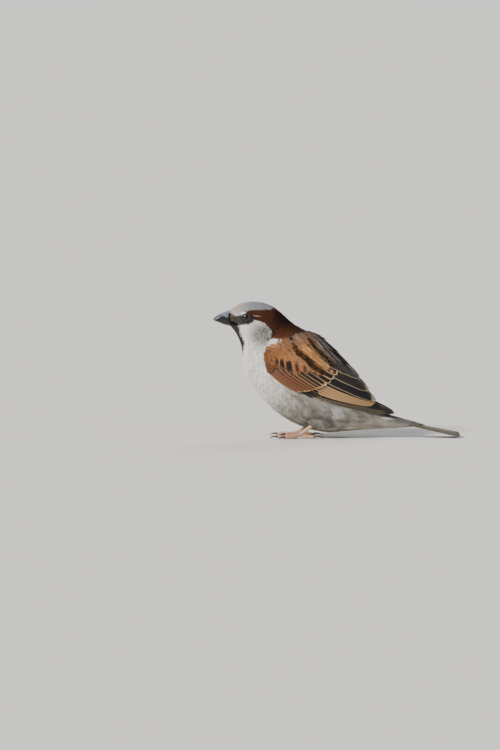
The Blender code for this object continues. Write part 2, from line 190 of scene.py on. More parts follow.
def wing(u, v):
    """The right wing at section u and share v of the arc, from its upper edge to its lower one."""
    upper, lower, half, start, end = (spline([k[i] for k in WING.values()], u) for i in range(5))
    start, end = np.radians(start), np.radians(end)
    turn = start + (end - start) * v
    share = (np.cos(start) - np.cos(turn)) / (np.cos(start) - np.cos(end))
    flat = upper + (lower - upper) * share[..., None]
    return np.stack([flat[..., 0], half * np.sin(turn), flat[..., 1]], -1)


def tail(u, v):
    """The top of the closed tail at share u of its length and v of its half width, arched across."""
    drop = math.radians(TAIL_DROP)
    far = u * TAIL_LENGTH
    width = TAIL_HALF_WIDTH[0] + (TAIL_HALF_WIDTH[1] - TAIL_HALF_WIDTH[0]) * np.clip(u, 0, 2) ** 0.8
    up = -TAIL_ARCH * (0.7 + 0.3 * u) * v**2
    x = TAIL_ROOT[0] + far * math.cos(drop) + up * math.sin(drop)
    z = TAIL_ROOT[1] - far * math.sin(drop) + up * math.cos(drop)
    return np.stack([x, width * v, z], -1)


def tangents(surface, u, v):
    """The two derivatives of a surface, by central differences, and its outward normal."""
    du = (surface(u + STEP, v) - surface(u - STEP, v)) / (2 * STEP)
    dv = (surface(u, v + STEP) - surface(u, v - STEP)) / (2 * STEP)
    return du, dv, unit(np.cross(du, dv))


def shift(du, dv, move):
    """How the two parameters change for a small move along the surface: the metric's inverse."""
    a, b, c = (du * du).sum(-1), (du * dv).sum(-1), (dv * dv).sum(-1)
    p, q = (move * du).sum(-1), (move * dv).sum(-1)
    det = a * c - b * b
    return (c * p - b * q) / det, (a * q - b * p) / det


def walk(surface, u, v, turn, length, rows):
    """Centre lines that start at u, v and keep an angle to the surface's own lines, turned to +v."""
    lines = [(u, v)]
    for _ in range(rows - 1):
        du, dv, normal = tangents(surface, *lines[-1])
        ahead = unit(du)
        way = np.cos(turn)[:, None] * ahead + np.sin(turn)[:, None] * np.cross(normal, ahead)
        step_u, step_v = shift(du, dv, way * (length / (rows - 1))[:, None])
        lines.append((lines[-1][0] + step_u, lines[-1][1] + step_v))
    lines = np.array(lines)
    return lines[:, 0].T, lines[:, 1].T


def wing_place(x, z):
    """The wing's two parameters at a place in side view: Newton's method from the nearest of a grid."""
    grid_u, grid_v = np.meshgrid(np.linspace(0, 8, 81), np.linspace(0, 1, 41), indexing="ij")
    grid = wing(grid_u, grid_v)[..., (0, 2)].reshape(-1, 2)
    goal = np.stack([x, z], -1)
    nearest = np.linalg.norm(grid[None] - goal[:, None], axis=-1).argmin(1)
    u, v = grid_u.ravel()[nearest], grid_v.ravel()[nearest]
    for _ in range(5):
        du, dv, _ = tangents(wing, u, v)
        error = goal - wing(u, v)[..., (0, 2)]
        det = du[:, 0] * dv[:, 2] - du[:, 2] * dv[:, 0]
        u = u + np.clip((error[:, 0] * dv[:, 2] - error[:, 1] * dv[:, 0]) / det, -0.3, 0.3)
        v = v + np.clip((error[:, 1] * du[:, 0] - error[:, 0] * du[:, 2]) / det, -0.1, 0.1)
        v = np.clip(v, -0.02, 1.02)
    return u, v


# ---------------------------------------------------------------- feathers


def blade(t):
    """A flight feather's half width: nearly even, with a rounded tip."""
    return np.minimum(1, 0.35 + t * 2.2) * np.sqrt(1 - np.clip((t - 0.84) / 0.1605, 0, 1) ** 2)


def toward_tip(rows):
    """Shares of a feather's length, closer together at its round tip."""
    return 1 - (1 - np.linspace(0, 1, rows)) ** 1.8


def vanes(surface, line_u, line_v, t, width, low, high, columns, rng, offset=0.0, camber=0.10,
          thick=0.10, tilt=0.0):
    """Closed vanes over centre lines. Row i, column j lies at the centre line's point i, moved aside
    by width / 2 * blade(t) * (c + offset), with c from -1 to 1, and out along the normal by a height
    that goes from low to high, rises by tilt times c and falls off as c squared. The rim is shared by
    the upper and lower sheets, which stand a vane's thickness apart inside it."""
    count, rows = line_u.shape
    c = np.linspace(-1, 1, columns)
    du, dv, normal = tangents(surface, line_u, line_v)
    centre = surface(line_u, line_v)
    ahead = np.gradient(centre, axis=1)
    length = np.linalg.norm(ahead, axis=-1).sum(1)[:, None, None]
    ahead = unit(ahead - (ahead * normal).sum(-1, keepdims=True) * normal)
    aside = np.cross(normal, ahead)
    ragged = 1 + 0.02 * rng.uniform(-1, 1, (count, rows, 1)) * np.abs(c) ** 3
    half = (width[:, None] / 2 * blade(t))[:, :, None]
    move = (half * (c * ragged + offset))[..., None] * aside[:, :, None]
    step_u, step_v = shift(du[:, :, None], dv[:, :, None], move)
    sheet = surface(line_u[..., None] + step_u, line_v[..., None] + step_v)
    rise = low[:, None] + (high - low)[:, None] * t**0.8
    height = rise[..., None] + (tilt * c - camber * half * c**2) * np.minimum(1, 3 * t)[:, None]
    top = sheet + normal[:, :, None] * height[..., None]
    under = (top - normal[:, :, None] * thick)[:, 1:-1, 1:-1]
    points = np.concatenate([top.reshape(count, -1, 3), under.reshape(count, -1, 3)], 1)
    grids = np.meshgrid(t, c, indexing="ij")
    along_t, along_c = (np.concatenate([g.ravel(), g[1:-1, 1:-1].ravel()]) for g in grids)
    return {
        "points": points,
        "t": along_t[None],
        "c": along_c[None],
        "tone": 1.0,
        "faces": vane_faces(rows, columns),
        "middle": centre[:, int(rows * 0.6)],
        "length": length[:, 0, 0],
        "width": width,
    }


def locks(surface, line_u, line_v, width, low, high, barbs, rng, rows=3, fan=0.7, reach=0.3,
          camber=0.10, loose=0.0, split=0.45, wide=1.5):
    """Closed locks of barbs that fan out from each feather's centre line to its edge. A lock has three
    sides and ends in a point: its width is the feather's over the number of barbs times wide, even up
    to split and then falling to nothing. Its ends stand back by reach times c squared, and each is
    lifted by its own share of loose."""
    count, steps = line_u.shape
    c = np.linspace(-1, 1, barbs) + rng.uniform(-0.6, 0.6, (count, barbs)) / barbs
    end = 1 - reach * c**2 + rng.normal(0, 0.07, (count, barbs))
    r = np.linspace(0, 1, rows + 1)
    t = end[..., None] * r
    i = np.clip((t * (steps - 1)).astype(int), 0, steps - 2)
    f = t * (steps - 1) - i
    centre = surface(line_u, line_v)
    length = np.linalg.norm(np.diff(centre, axis=1), axis=-1).sum(1)
    ways = np.gradient(centre, axis=1)

    def at(grid):
        """A value of the centre lines, read at every row of every lock."""
        grid = grid[:, None]
        return np.take_along_axis(grid, i, 2) * (1 - f) + np.take_along_axis(grid, i + 1, 2) * f

    u, v = at(line_u), at(line_v)
    du, dv, normal = tangents(surface, u, v)
    ahead = np.stack([at(ways[..., k]) for k in range(3)], -1)
    ahead = unit(ahead - (ahead * normal).sum(-1, keepdims=True) * normal)
    aside = np.cross(normal, ahead)
    half = width[:, None, None] / 2
    place = c[..., None] * (0.25 + 0.75 * r**fan)
    thick = 2 * half / barbs * wide * np.clip((1 - r) / (1 - split), 0, 1) ** 0.7
    thick = np.broadcast_to(thick, place.shape)
    across = half * place
    sides = np.array([-0.5, 0.0, 0.5])
    move = (across[..., None] + thick[..., None] * sides)[..., None] * aside[..., None, :]
    step_u, step_v = shift(du[..., None, :], dv[..., None, :], move)
    sheet = surface(u[..., None] + step_u, v[..., None] + step_v)
    lift = rng.uniform(-1, 1, (count, barbs, 1)) * loose * (0.3 + r)
    rise = low[:, None, None] + (high - low)[:, None, None] * t**0.8 + lift - camber * half * place**2
    height = rise[..., None] + thick[..., None] * np.array([-0.12, 0.28, -0.12])
    points = sheet + normal[..., None, :] * height[..., None]
    soft = unit(normal[..., None, :] + 0.55 * aside[..., None, :] * np.array([-1, 0, 1])[:, None])
    soft = np.broadcast_to(soft, points.shape)

    def packed(grid, numbers):
        """The three points of every row but the last, which keeps its middle one: the lock's point."""
        sides = grid[:, :, :rows].reshape(count, barbs, rows * 3, numbers)
        return np.concatenate([sides, grid[:, :, rows, 1:2]], 2).reshape(count, -1, numbers)

    spread = place[..., None] + thick[..., None] / half[..., None] * sides
    where = packed(np.stack([np.broadcast_to(t[..., None], spread.shape), spread], -1), 2)
    tone = np.repeat(rng.uniform(0.90, 1.07, (count, barbs)), rows * 3 + 1, 1)
    return {
        "points": packed(points, 3),
        "normals": packed(soft, 3),
        "t": where[..., 0],
        "c": where[..., 1],
        "tone": tone,
        "faces": lock_faces(rows, barbs),
        "middle": centre[:, int(steps * 0.6)],
        "length": length,
        "width": width,
    }


def grid_index(rows, columns):
    """The numbers of a grid's points, row by row."""
    return np.arange(rows * columns).reshape(rows, columns)


def grid_quads(index, close_rows=False, close_columns=False):
    """Quads over a grid of point numbers, which may join its last row or column to its first."""
    if close_rows:
        index = np.concatenate([index, index[:1]])
    if close_columns:
        index = np.concatenate([index, index[:, :1]], 1)
    ring = [index[:-1, :-1], index[1:, :-1], index[1:, 1:], index[:-1, 1:]]
    return np.stack(ring, -1).reshape(-1, 4)


def lock_faces(rows, barbs):
    """Faces of a feather's locks: two upper sides, the underside, the point and the root of each."""
    left = np.arange(rows) * 3
    a, b = left[:-1], left[1:]
    sides = ((a, b, b + 1, a + 1), (a + 1, b + 1, b + 2, a + 2), (a + 2, b + 2, b, a))
    quads = [np.stack(side, -1) for side in sides]
    last, tip = left[-1], rows * 3
    ends = np.array([(last, tip, last + 1, -1), (last + 1, tip, last + 2, -1), (last + 2, tip, last, -1),
                     (0, 1, 2, -1)])
    one = np.concatenate(quads + [ends])
    starts = np.arange(barbs)[:, None, None] * (rows * 3 + 1)
    return np.where(one[None] < 0, -1, one[None] + starts).reshape(-1, 4)


def vane_faces(rows, columns):
    """Quads of one vane: the upper sheet, and the lower one that shares its rim."""
    top = grid_index(rows, columns)
    under = top.copy()
    under[1:-1, 1:-1] = rows * columns + grid_index(rows - 2, columns - 2)
    return np.concatenate([grid_quads(top), grid_quads(under)[:, ::-1]])


def mirrored(batch):
    """The same vanes on the bird's other side."""
    flipped = {key: batch[key] * (1, -1, 1) for key in ("points", "normals") if key in batch}
    faces = batch["faces"][:, ::-1]
    faces = np.where(faces[:, :1] < 0, np.roll(faces, -1, 1), faces)
    return {**batch, **flipped, "faces": faces}


def make_mesh(name, points, quads, smooth_angle=None):
    """A mesh from arrays, in one go. Points are in millimetres, and a quad's last corner may be -1."""
    mesh = bpy.data.meshes.new(name)
    mesh.vertices.add(len(points))
    mesh.vertices.foreach_set("co", (np.asarray(points, float) * MM).ravel())
    sizes = np.where(quads[:, 3] < 0, 3, 4)
    corners = quads.ravel()[quads.ravel() >= 0]
    mesh.loops.add(len(corners))
    mesh.loops.foreach_set("vertex_index", corners)
    mesh.polygons.add(len(quads))
    mesh.polygons.foreach_set("loop_start", np.concatenate([[0], np.cumsum(sizes)[:-1]]))
    mesh.update(calc_edges=True)
    mesh.validate()
    mesh.shade_smooth()
    if smooth_angle:
        mesh.set_sharp_from_angle(angle=math.radians(smooth_angle))
    made = bpy.data.objects.new(name, mesh)
    bpy.context.scene.collection.objects.link(made)
    return made


def paint(piece, colours, vane=None):
    """Stores a colour for each point and, on feathers, its place on the vane in millimetres."""
    tint = piece.data.attributes.new("tint", "FLOAT_COLOR", "POINT")
    full = np.ones((len(colours), 4))
    full[:, :3] = np.clip(colours, 0, 1)
    tint.data.foreach_set("color", full.ravel())
    if vane is not None:
        place = piece.data.attributes.new("vane", "FLOAT_VECTOR", "POINT")
        place.data.foreach_set("vector", vane.ravel())


def coat_piece(name, batches, material):
    """Joins batches of vanes in one mesh, with colours, vane places and the map for baking."""
    points, quads, colours, places, uvs, first = [], [], [], [], [], 0
    for batch in batches:
        count, each = batch["points"].shape[:2]
        points.append(batch["points"].reshape(-1, 3))
        starts = first + np.arange(count)[:, None, None] * each
        faces = batch["faces"][None]
        quads.append(np.where(faces < 0, -1, faces + starts).reshape(-1, 4))
        first += count * each
        colours.append(batch["colour"].reshape(-1, 3))
        t, c = (np.broadcast_to(batch[key], (count, each)) for key in ("t", "c"))
        place = [(c - batch.get("shaft", 0)) * batch["width"][:, None] / 2, t * batch["length"][:, None]]
        place.append(np.broadcast_to(np.arange(count)[:, None] * 0.37 % 1, place[0].shape))
        places.append(np.stack(place, -1).reshape(-1, 3))
        patch = np.stack([c, t * 2 - 1], -1) * batch.get("patch", BAKE_PATCH)
        uvs.append((batch["uv"][:, None] + patch).reshape(-1, 2))
    soft = all("normals" in batch for batch in batches)
    piece = make_mesh(name, np.concatenate(points), np.concatenate(quads), None if soft else 60)
    if soft:
        normals = np.concatenate([batch["normals"].reshape(-1, 3) for batch in batches])
        piece.data.normals_split_custom_set_from_vertices(normals)
    paint(piece, np.concatenate(colours), np.concatenate(places))
    uv_map = piece.data.uv_layers.new(name="OFBake")
    corners = np.empty(len(piece.data.loops), int)
    piece.data.loops.foreach_get("vertex_index", corners)
    uv_map.uv.foreach_set("vector", np.concatenate(uvs)[corners].ravel())
    piece.data.materials.append(material)
    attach(piece, "root")
    return piece


# ---------------------------------------------------------------- markings

WHITE, CREAM, ASH, GREY = rgb("#EDEAE3"), rgb("#C8BEAD"), rgb("#7F7970"), rgb("#6C6A66")
CROWN, FOREHEAD, SOOT, BLACK = rgb("#93949A"), rgb("#B5A9A4"), rgb("#241E1B"), rgb("#0D0C0C")
CHESTNUT, DARK_CHESTNUT, BROWN, INK = rgb("#4C2D20"), rgb("#2A1C16"), rgb("#43372F"), rgb("#1E1917")
WING_CHESTNUT, ORANGE, SAND, CINNAMON = rgb("#764B30"), rgb("#B87A45"), rgb("#C2AA89"), rgb("#BA9062")
PRIMARY, PRIMARY_EDGE, SLATE = rgb("#241F1C"), rgb("#6F6350"), rgb("#4A443F")


def oval(x, z, middle, reach, low, high, wobble=0.0):
    """1 inside an oval in side view and 0 outside it. Its rim is soft from low to high times its reach,
    and the wobble moves it."""
    far = np.hypot((x - middle[0]) / reach[0], (z - middle[1]) / reach[1])
    return 1 - ramp(far + wobble, low, high)


def markings(p):
    """The colour of skin and small feathers at each place: the species' pattern, region by region, with
    painted shade on the low belly and on the cheek's rear. Boundaries are lines in side view, in
    millimetres, each softened over about a feather's length."""
    x, y, z = p[..., 0], np.abs(p[..., 1]), p[..., 2]
    colour = np.broadcast_to(WHITE, p.shape)
    # Underparts: white breast, grey belly and flanks, buff-grey under the tail, all softly mottled. The
    # low belly's grey is partly painted shade.
    streaks = 0.5 + 0.5 * mottle(p * (0.35, 1, 1), 2.5, 3)
    clumps = mottle(p * (0.6, 1, 1), 4.5, 12)
    colour = mix(colour, ASH, (ramp(clumps, 0.1, 1.1) + streaks) * 0.16 * ramp(x, -54, -46))
    # Grey down and back over the belly: partly its own colour, partly painted shade.
    belly = ramp((x + 40) / 25 - (z - 25) / 40 + 0.12 * clumps, -0.35, 0.85)
    colour = mix(colour, ASH, belly * (0.72 + 0.28 * streaks))
    # An oval of painted shade, ASH at half strength, over the low belly round the thighs.
    shade = oval(x, z, (-12, 12), (12, 7), 0.3, 1.1, 0.2 * clumps)
    colour = mix(colour, ASH * 0.5, 0.55 * shade)
    tuft = oval(x, z, (-1.5, 15.5), (6.5, 3.4), 0.6, 1.1, 0.25 * clumps)
    colour = mix(colour, mix(CREAM, ASH, 0.75 * streaks), 0.75 * ramp(x, -4, 12))
    colour = mix(colour, WHITE, 0.55 * tuft)
    # Cheek: whitish in front, grey and mottled behind; the grey's rear is partly painted shade.
    cheek = oval(x, z, (-40.6, 58.8), (10.0, 7.6), 0.4, 1.15)
    colour = mix(colour, GREY, cheek * np.clip(0.84 + 0.25 * mottle(p, 0.9, 4), 0, 1))
    # Back, from the hind neck to the rump, above the wing's upper edge.
    back_line = through([(-40, 90), (-30, 58.5), (-22, 56), (0, 42), (14, 20), (30, 8.5), (45, 7)], x)
    on_back = ramp(z - back_line, -0.6, 0.8) * ramp(x, -33, -27)
    streaks = ramp(mottle(p * (0.3, 1.0, 0.3), 1.6, 9), -0.1, 0.7) * (1 - ramp(x, 10, 20))
    mantle = mix(mix(BROWN, GREY, 0.45 + 0.55 * ramp(x, 16, 30)), INK, 0.8 * streaks)
    colour = mix(colour, mantle, on_back)
    # Nape and the side of the neck.
    rear = through([(55.3, -40.3), (56.5, -39.3), (58, -37.6), (60, -36.4), (61.5, -36.8), (63.0, -38.6),
                    (65.0, -40.5), (66.2, -43.5), (66.8, -46.5), (68.5, -48.5), (70.5, -52)], z)
    patch_line = through([(-42, 53), (-40, 55.6), (-37.5, 56.9), (-34, 57.0), (-31.5, 56.0), (-28, 57.3),
                          (-22, 59.6)], x)
    neck = ramp(x - rear, -0.4, 0.5) * ramp(z - patch_line, -0.3, 0.5) * (1 - ramp(x, -24, -18))
    dark = ramp(x, -40, -33) * ramp(z, 60, 66)
    chestnut = CHESTNUT * (1.45 - 0.45 * ramp(z, 57, 62))[..., None]
    colour = mix(colour, mix(chestnut, DARK_CHESTNUT, 0.92 * dark), neck)
    edge = (1 - ramp(np.abs(x - rear - 0.4), 0.45, 0.9)) * (1 - ramp(z, 61.5, 63)) * ramp(z, 55.2, 56)
    colour = mix(colour, DARK_CHESTNUT, 0.92 * edge)
    # Brown shoulder, which a white wedge parts from the neck.
    shoulder_line = through([(-42, 50.5), (-40, 52.4), (-37, 53.8), (-34, 55.4), (-31, 56.8), (-28, 58.2),
                             (-22, 60.5)], x)
    wedge = ramp(z - shoulder_line, -0.3, 0.3) * ramp(patch_line - z, -0.3, 0.3) * ramp(x, -41, -39)
    colour = mix(colour, WHITE, wedge * (1 - ramp(x, -33.5, -30.5)))
    shoulder = ramp(shoulder_line - z, -0.3, 0.4) * ramp(x, -41.8, -40.8) * ramp(z, 47, 49)
    brown = mix(rgb("#96623C"), rgb("#6A5142"), 0.5 + 0.5 * mottle(p, 1.6, 7))
    chain = 1 - ramp(np.abs(x - through([(50, -22.6), (54, -25.0), (58, -26.4)], z)), 1.2, 2.2)
    brown = mix(mix(brown, BROWN, ramp(x, -21, -13)), INK, 0.95 * chain * ramp(z, 49, 51))
    colour = mix(colour, brown, shoulder * (1 - on_back))
    # Crown, and the paler forehead.
    crown_line = through([(-60, 69.2), (-54, 69.4), (-52, 71.0), (-49, 71.9), (-38, 72.6), (-33, 74)], x)
    crown = ramp(z - crown_line, -0.4, 0.5) * (1 - ramp(x, -38, -34))
    grey = mix(CROWN, FOREHEAD, 1 - ramp(x, -57, -49)) * (1 + 0.14 * mottle(p, 0.8, 8))[..., None]
    colour = mix(colour, grey, crown)
    # Lores, and the black ring round the eye.
    low = through([(-61, 63.6), (-57, 63.4), (-54.6, 63.8), (-52, 64.3), (-50, 64.3), (-48, 65.2),
                   (-46, 66.8)], x)
    high = through([(-61, 70.4), (-57, 68.8), (-54, 69.3), (-51, 70.4), (-48, 69.2), (-46, 67.4)], x)
    mask = ramp(z - low, -0.4, 0.5) * ramp(high - z, -0.5, 0.5) * (1 - ramp(x, -47.4, -45.8))
    near = oval(x, z, (EYE["x"], EYE["z"]), (1, 1), 3.2, 5.0)
    lores = mix(SOOT, rgb("#6B5F58"), 0.14 + 0.24 * mottle(p, 1.2, 5))
    colour = mix(colour, mix(lores, BLACK, near), 0.96 * mask)
    # White spot over the eye and the thin line behind it.
    spot = oval(x, z, (-52.8, 70.3), (1.6, 0.65), 0.7, 1.1)
    streak = ramp(x, -48.2, -47.4) * (1 - ramp(x, -44.4, -42.5))
    streak = streak * (1 - ramp(np.abs(z - 68.95), 0.05, 0.26))
    colour = mix(colour, WHITE, np.maximum(spot, 0.45 * streak))
    # Bib: chin and throat, narrowing down the breast, with pale fringes lower down.
    edge = through([(42, -54.2), (47, -52.8), (50, -52.2), (53, -51.6), (55.5, -52.0), (58.2, -53.8),
                    (61.7, -54.4), (64.5, -54.8), (66, -60)], z) + 0.5 * mottle(p, 1.5, 13)
    bib = ramp(edge - x, -0.3, 0.5) * ramp(z, 42, 49) * (1 - ramp(y, 6.2, 8.2))
    pale = 0.5 * (1 - ramp(z, 46, 54)) * (0.5 + 0.5 * mottle(p, 1.8, 6))
    return mix(colour, BLACK, 0.95 * bib * (1 - pale))


# ---------------------------------------------------------------- contour feathers


def nearest(points, others, block=2000):
    """How far each point is from the nearest of the others, worked out a block at a time."""
    far = np.empty(len(points))
    for first in range(0, len(points), block):
        here = points[first : first + block, None]
        far[first : first + block] = np.linalg.norm(here - others[None], axis=-1).min(1)
    return far


def inside_wing(p):
    """How far a place on the body lies inside the folded wing's edge, or less than 0 outside it."""
    grid_u, grid_v = np.meshgrid(np.linspace(0.05, 7.6, 70), np.linspace(0.04, 0.96, 30), indexing="ij")
    cover = wing(grid_u, grid_v).reshape(-1, 3)
    rim_u = np.concatenate([np.linspace(0, 8, 60)] * 2 + [np.zeros(30)])
    rim_v = np.concatenate([np.zeros(60), np.ones(60), np.linspace(0, 1, 30)])
    rim = wing(rim_u, rim_v)
    here = np.stack([p[:, 0], np.abs(p[:, 1]), p[:, 2]], -1)
    edge = nearest(here, rim)
    return np.where(nearest(here, cover) < COVER_REACH, edge, -edge)


def scatter(first, last, size, crowding):
    """Places spread evenly over the body between two sections, closer where feathers are smaller.
    The cumulative sums of the wanted density carry an even spread in the unit square over to it."""
    s = np.linspace(first, last, 260)
    a = np.linspace(0, TAU, 181)
    grid_s, grid_a = np.meshgrid(s, a, indexing="ij")
    du, dv, _ = tangents(body, grid_s, grid_a)
    area = np.linalg.norm(np.cross(du, dv), axis=-1)
    density = area / (size(body(grid_s, grid_a), grid_s) ** 2 * crowding)
    count = int(density.mean() * (last - first) * TAU)
    first_share, second_share = evenly(1, count)
    down = np.cumsum(density.sum(1))
    place_s = np.interp(first_share, (down - down[0]) / (down[-1] - down[0]), s)
    row = np.clip(np.searchsorted(s, place_s), 0, len(s) - 1)
    across = np.cumsum(density, 1)
    across = (across - across[:, :1]) / (across[:, -1:] - across[:, :1])
    below = (across[row] < second_share[:, None]).sum(1).clip(1, len(a) - 1)
    low, high = across[row, below - 1], across[row, below]
    place_a = a[below - 1] + (second_share - low) / np.maximum(high - low, 1e-9) * (a[1] - a[0])
    return place_s, place_a


def feather_size(p, s):
    """A contour feather's length: by section, shorter round the eye and at the bill."""
    length = spline(COAT_LENGTH, s)
    eye = np.hypot(p[..., 0] - EYE["x"], p[..., 2] - EYE["z"])
    return np.minimum(length, 1.35 + 0.16 * eye)


def clear_of_eye(line_s, line_a, opening):
    """True for the centre lines that don't cross the eye's opening, which lies a little outside the
    eye's middle."""
    p = body(line_s, line_a)
    gap = np.sqrt((p[..., 0] - EYE["x"]) ** 2 + (np.abs(p[..., 1]) - EYE["y"] - 1.6) ** 2
                  + (p[..., 2] - EYE["z"]) ** 2)
    return gap.min(1) > opening


def contour(first, last, rng, crowding, aspect, barbs, rows):
    """Contour feathers over a stretch of the body, each lying back along it, root under, tip out."""
    s, a = scatter(first, last, feather_size, crowding)
    root = body(s, a)
    cover = inside_wing(root)
    keep = cover < 3.0
    s, a, root, cover = s[keep], a[keep], root[keep], cover[keep]
    length = feather_size(root, s) * rng.uniform(0.80, 1.15, len(s))
    width = length * aspect * rng.uniform(0.85, 1.15, len(s))
    line_s, line_a = walk(body, s, a, rng.normal(0, 0.12, len(s)), length, 5)
    keep = clear_of_eye(line_s, line_a, 2.15)
    found = (line_s, line_a, s, a, root, length, width, cover)
    line_s, line_a, s, a, root, length, width, cover = (values[keep] for values in found)
    depth = spline(COAT_DEPTH, s)
    lumps = 0.6 * mottle(root, 5.5, 8) + 0.5 * mottle(root, 2.6, 14)
    high = rng.uniform(-0.14, 0.08, len(s)) - 0.20 + 0.15 * lumps - 0.55 * ramp(cover, -1.5, 1.0)
    high = high * depth
    batch = locks(body, line_s, line_a, width, -0.85 * depth, high, barbs, rng, rows=rows,
                  loose=0.06 * depth.mean())
    batch["uv"] = np.stack([(s - first) / (last - first) * 0.98 + 0.01, a / TAU * 0.98 + 0.01], -1)
    each = batch["points"].shape[1] // barbs
    spots = batch["points"].reshape(len(s), barbs, each, 3)[:, :, each // 2]
    tone = rng.uniform(0.90, 1.05, (len(s), 1)) * (1 + 0.07 * lumps[:, None])
    colour = markings(spots) * tone[..., None]
    shade = batch["tone"] * (0.72 + 0.32 * batch["t"])
    batch["colour"] = np.repeat(colour, each, 1) * shade[..., None]
    streak_back(batch, rng)
    return batch


def bristles(rng, count=520):
    """Short bristly feathers that point forward over the base of the bill and the nostrils."""
    s, a = rng.uniform(-0.05, 0.30, count), rng.uniform(0, TAU, count)
    line_s, line_a = walk(body, s, a, math.pi + rng.normal(0, 0.2, count), rng.uniform(1.1, 1.9, count), 4)
    batch = locks(body, line_s, line_a, np.full(count, 0.8), np.full(count, -0.45),
                  rng.uniform(-0.35, -0.1, count), 5, rng)
    batch["uv"] = np.stack([s * 0.1 + 0.01, a / TAU * 0.98 + 0.01], -1)
    batch["colour"] = (SOOT * 0.8)[None, None] * batch["tone"][..., None]
    return batch


def streak_back(batch, rng):
    """Feathers of the middle of the back have a black streak down the vane."""
    middle = batch["middle"]
    on_back = ramp(middle[:, 0], -26, -20) * (1 - ramp(middle[:, 0], 2, 10))
    on_back = on_back * ramp(middle[:, 2] - through([(-26, 55), (0, 40), (10, 20)], middle[:, 0]), 0, 2)
    centre = (1 - ramp(np.abs(batch["c"]), 0.3, 0.6)) * ramp(batch["t"], 0.15, 0.35)
    share = on_back[:, None] * centre * (rng.uniform(0, 1, len(middle)) < 0.55)[:, None]
    batch["colour"] = mix(batch["colour"], INK * 0.8, 0.9 * share)


# ---------------------------------------------------------------- wing feathers


def between(roots, tips, count, t, bow=0.0):
    """Centre lines over the wing from a line of roots to a line of tips, given in side view. Each sags
    by its bow in the middle."""
    share = np.linspace(0, 1, count)
    ends = []
    for points in (roots, tips):
        points = np.array(points, float)
        at = np.linspace(0, 1, len(points))
        ends.append([np.interp(share, at, points[:, k]) for k in (0, 1)])
    x = ends[0][0][:, None] * (1 - t) + ends[1][0][:, None] * t
    sag = np.broadcast_to(bow, count)[:, None] * 4 * t * (1 - t)
    z = ends[0][1][:, None] * (1 - t) + ends[1][1][:, None] * t - sag
    u, v = wing_place(x.ravel(), z.ravel())
    return u.reshape(x.shape), v.reshape(x.shape)


def along(points, length, step, rng, rows=5):
    """Centre lines of feathers that overlap along one smooth line over the wing, given in side view,
    and the share of its full size that each has grown to: the first ones are small."""
    points = np.array(points, float)
    path = spline(points, np.linspace(0, len(points) - 1, 80))
    far = np.concatenate([[0], np.cumsum(np.linalg.norm(np.diff(path, axis=0), axis=1))])
    starts = np.arange(-0.5 * length, far[-1] - 0.5 * length, step)
    starts = starts + rng.uniform(-0.2, 0.2, len(starts)) * step
    grown = 0.65 + 0.35 * ramp(starts, -3, 7)
    reach = length * grown * rng.uniform(0.9, 1.1, len(starts))
    at = starts[:, None] + np.linspace(0, 1, rows)[None] * reach[:, None]
    slope = (path[-1] - path[-8]) / (far[-1] - far[-8])
    first = (path[7] - path[0]) / (far[7] - far[0])
    place = []
    for k in (0, 1):
        inside = np.interp(at, far, path[:, k])
        place.append(inside + np.maximum(at - far[-1], 0) * slope[k] + np.minimum(at, 0) * first[k])
    lean = rng.normal(0, 0.05, (len(starts), 1)) * np.linspace(0, 1, rows)[None] * length
    x, z = place[0] + lean * 0.6, place[1] + lean
    u, v = wing_place(x.ravel(), z.ravel())
    return u.reshape(x.shape), v.reshape(x.shape), grown


def cells(count, first, total):
    """Centres of separate squares of the bake map, for feathers big enough to show a pattern."""
    across = math.ceil(math.sqrt(total))
    k = np.arange(first, first + count)
    return (np.stack([k % across, k // across], -1) + 0.5) / across, 0.46 / across


def dyed(batch, rng, centre, rim, tip, rim_from=0.7, tip_from=0.92, soft=0.12, blur=0.04):
    """Colours of a feather: a middle, a rim from this share of the half width, and a tip from this
    share of the length. Each of the three is one colour, or one for every feather."""
    count = len(batch["points"])
    t = batch["t"] + blur * rng.uniform(-1, 1, (count, 1))
    c = np.broadcast_to(np.abs(batch["c"]), (count, batch["t"].shape[1]))
    centre, rim, tip = (np.broadcast_to(k, (count, 3))[:, None] for k in (centre, rim, tip))
    rim_from = np.broadcast_to(rim_from, count)[:, None]
    edge = ramp(c, rim_from - soft, rim_from + soft)
    end = ramp(t, tip_from - soft / 3, tip_from + soft / 3)
    colour = mix(mix(centre, rim, edge), tip, end)
    tone = batch["tone"] * rng.uniform(0.92, 1.08, (count, 1)) * (0.9 + 0.12 * batch["t"])
    return colour * tone[..., None]


def wing_row(rng, roots, tips, count, width, low, high, columns, offset, stack, camber=0.05, bow=0.0,
             rows=16):
    """A row of wing feathers, from the outermost to the innermost, each lying over the last."""
    t = toward_tip(rows)
    line_u, line_v = between(roots, tips, count, t, bow)
    each = np.arange(count) * stack
    width = np.broadcast_to(width, count).astype(float)
    row = vanes(wing, line_u, line_v, t, width, low + each, high + each, columns, rng,
                offset=offset, camber=camber, thick=0.12, tilt=0.16)
    return {**row, "shaft": 0.35}


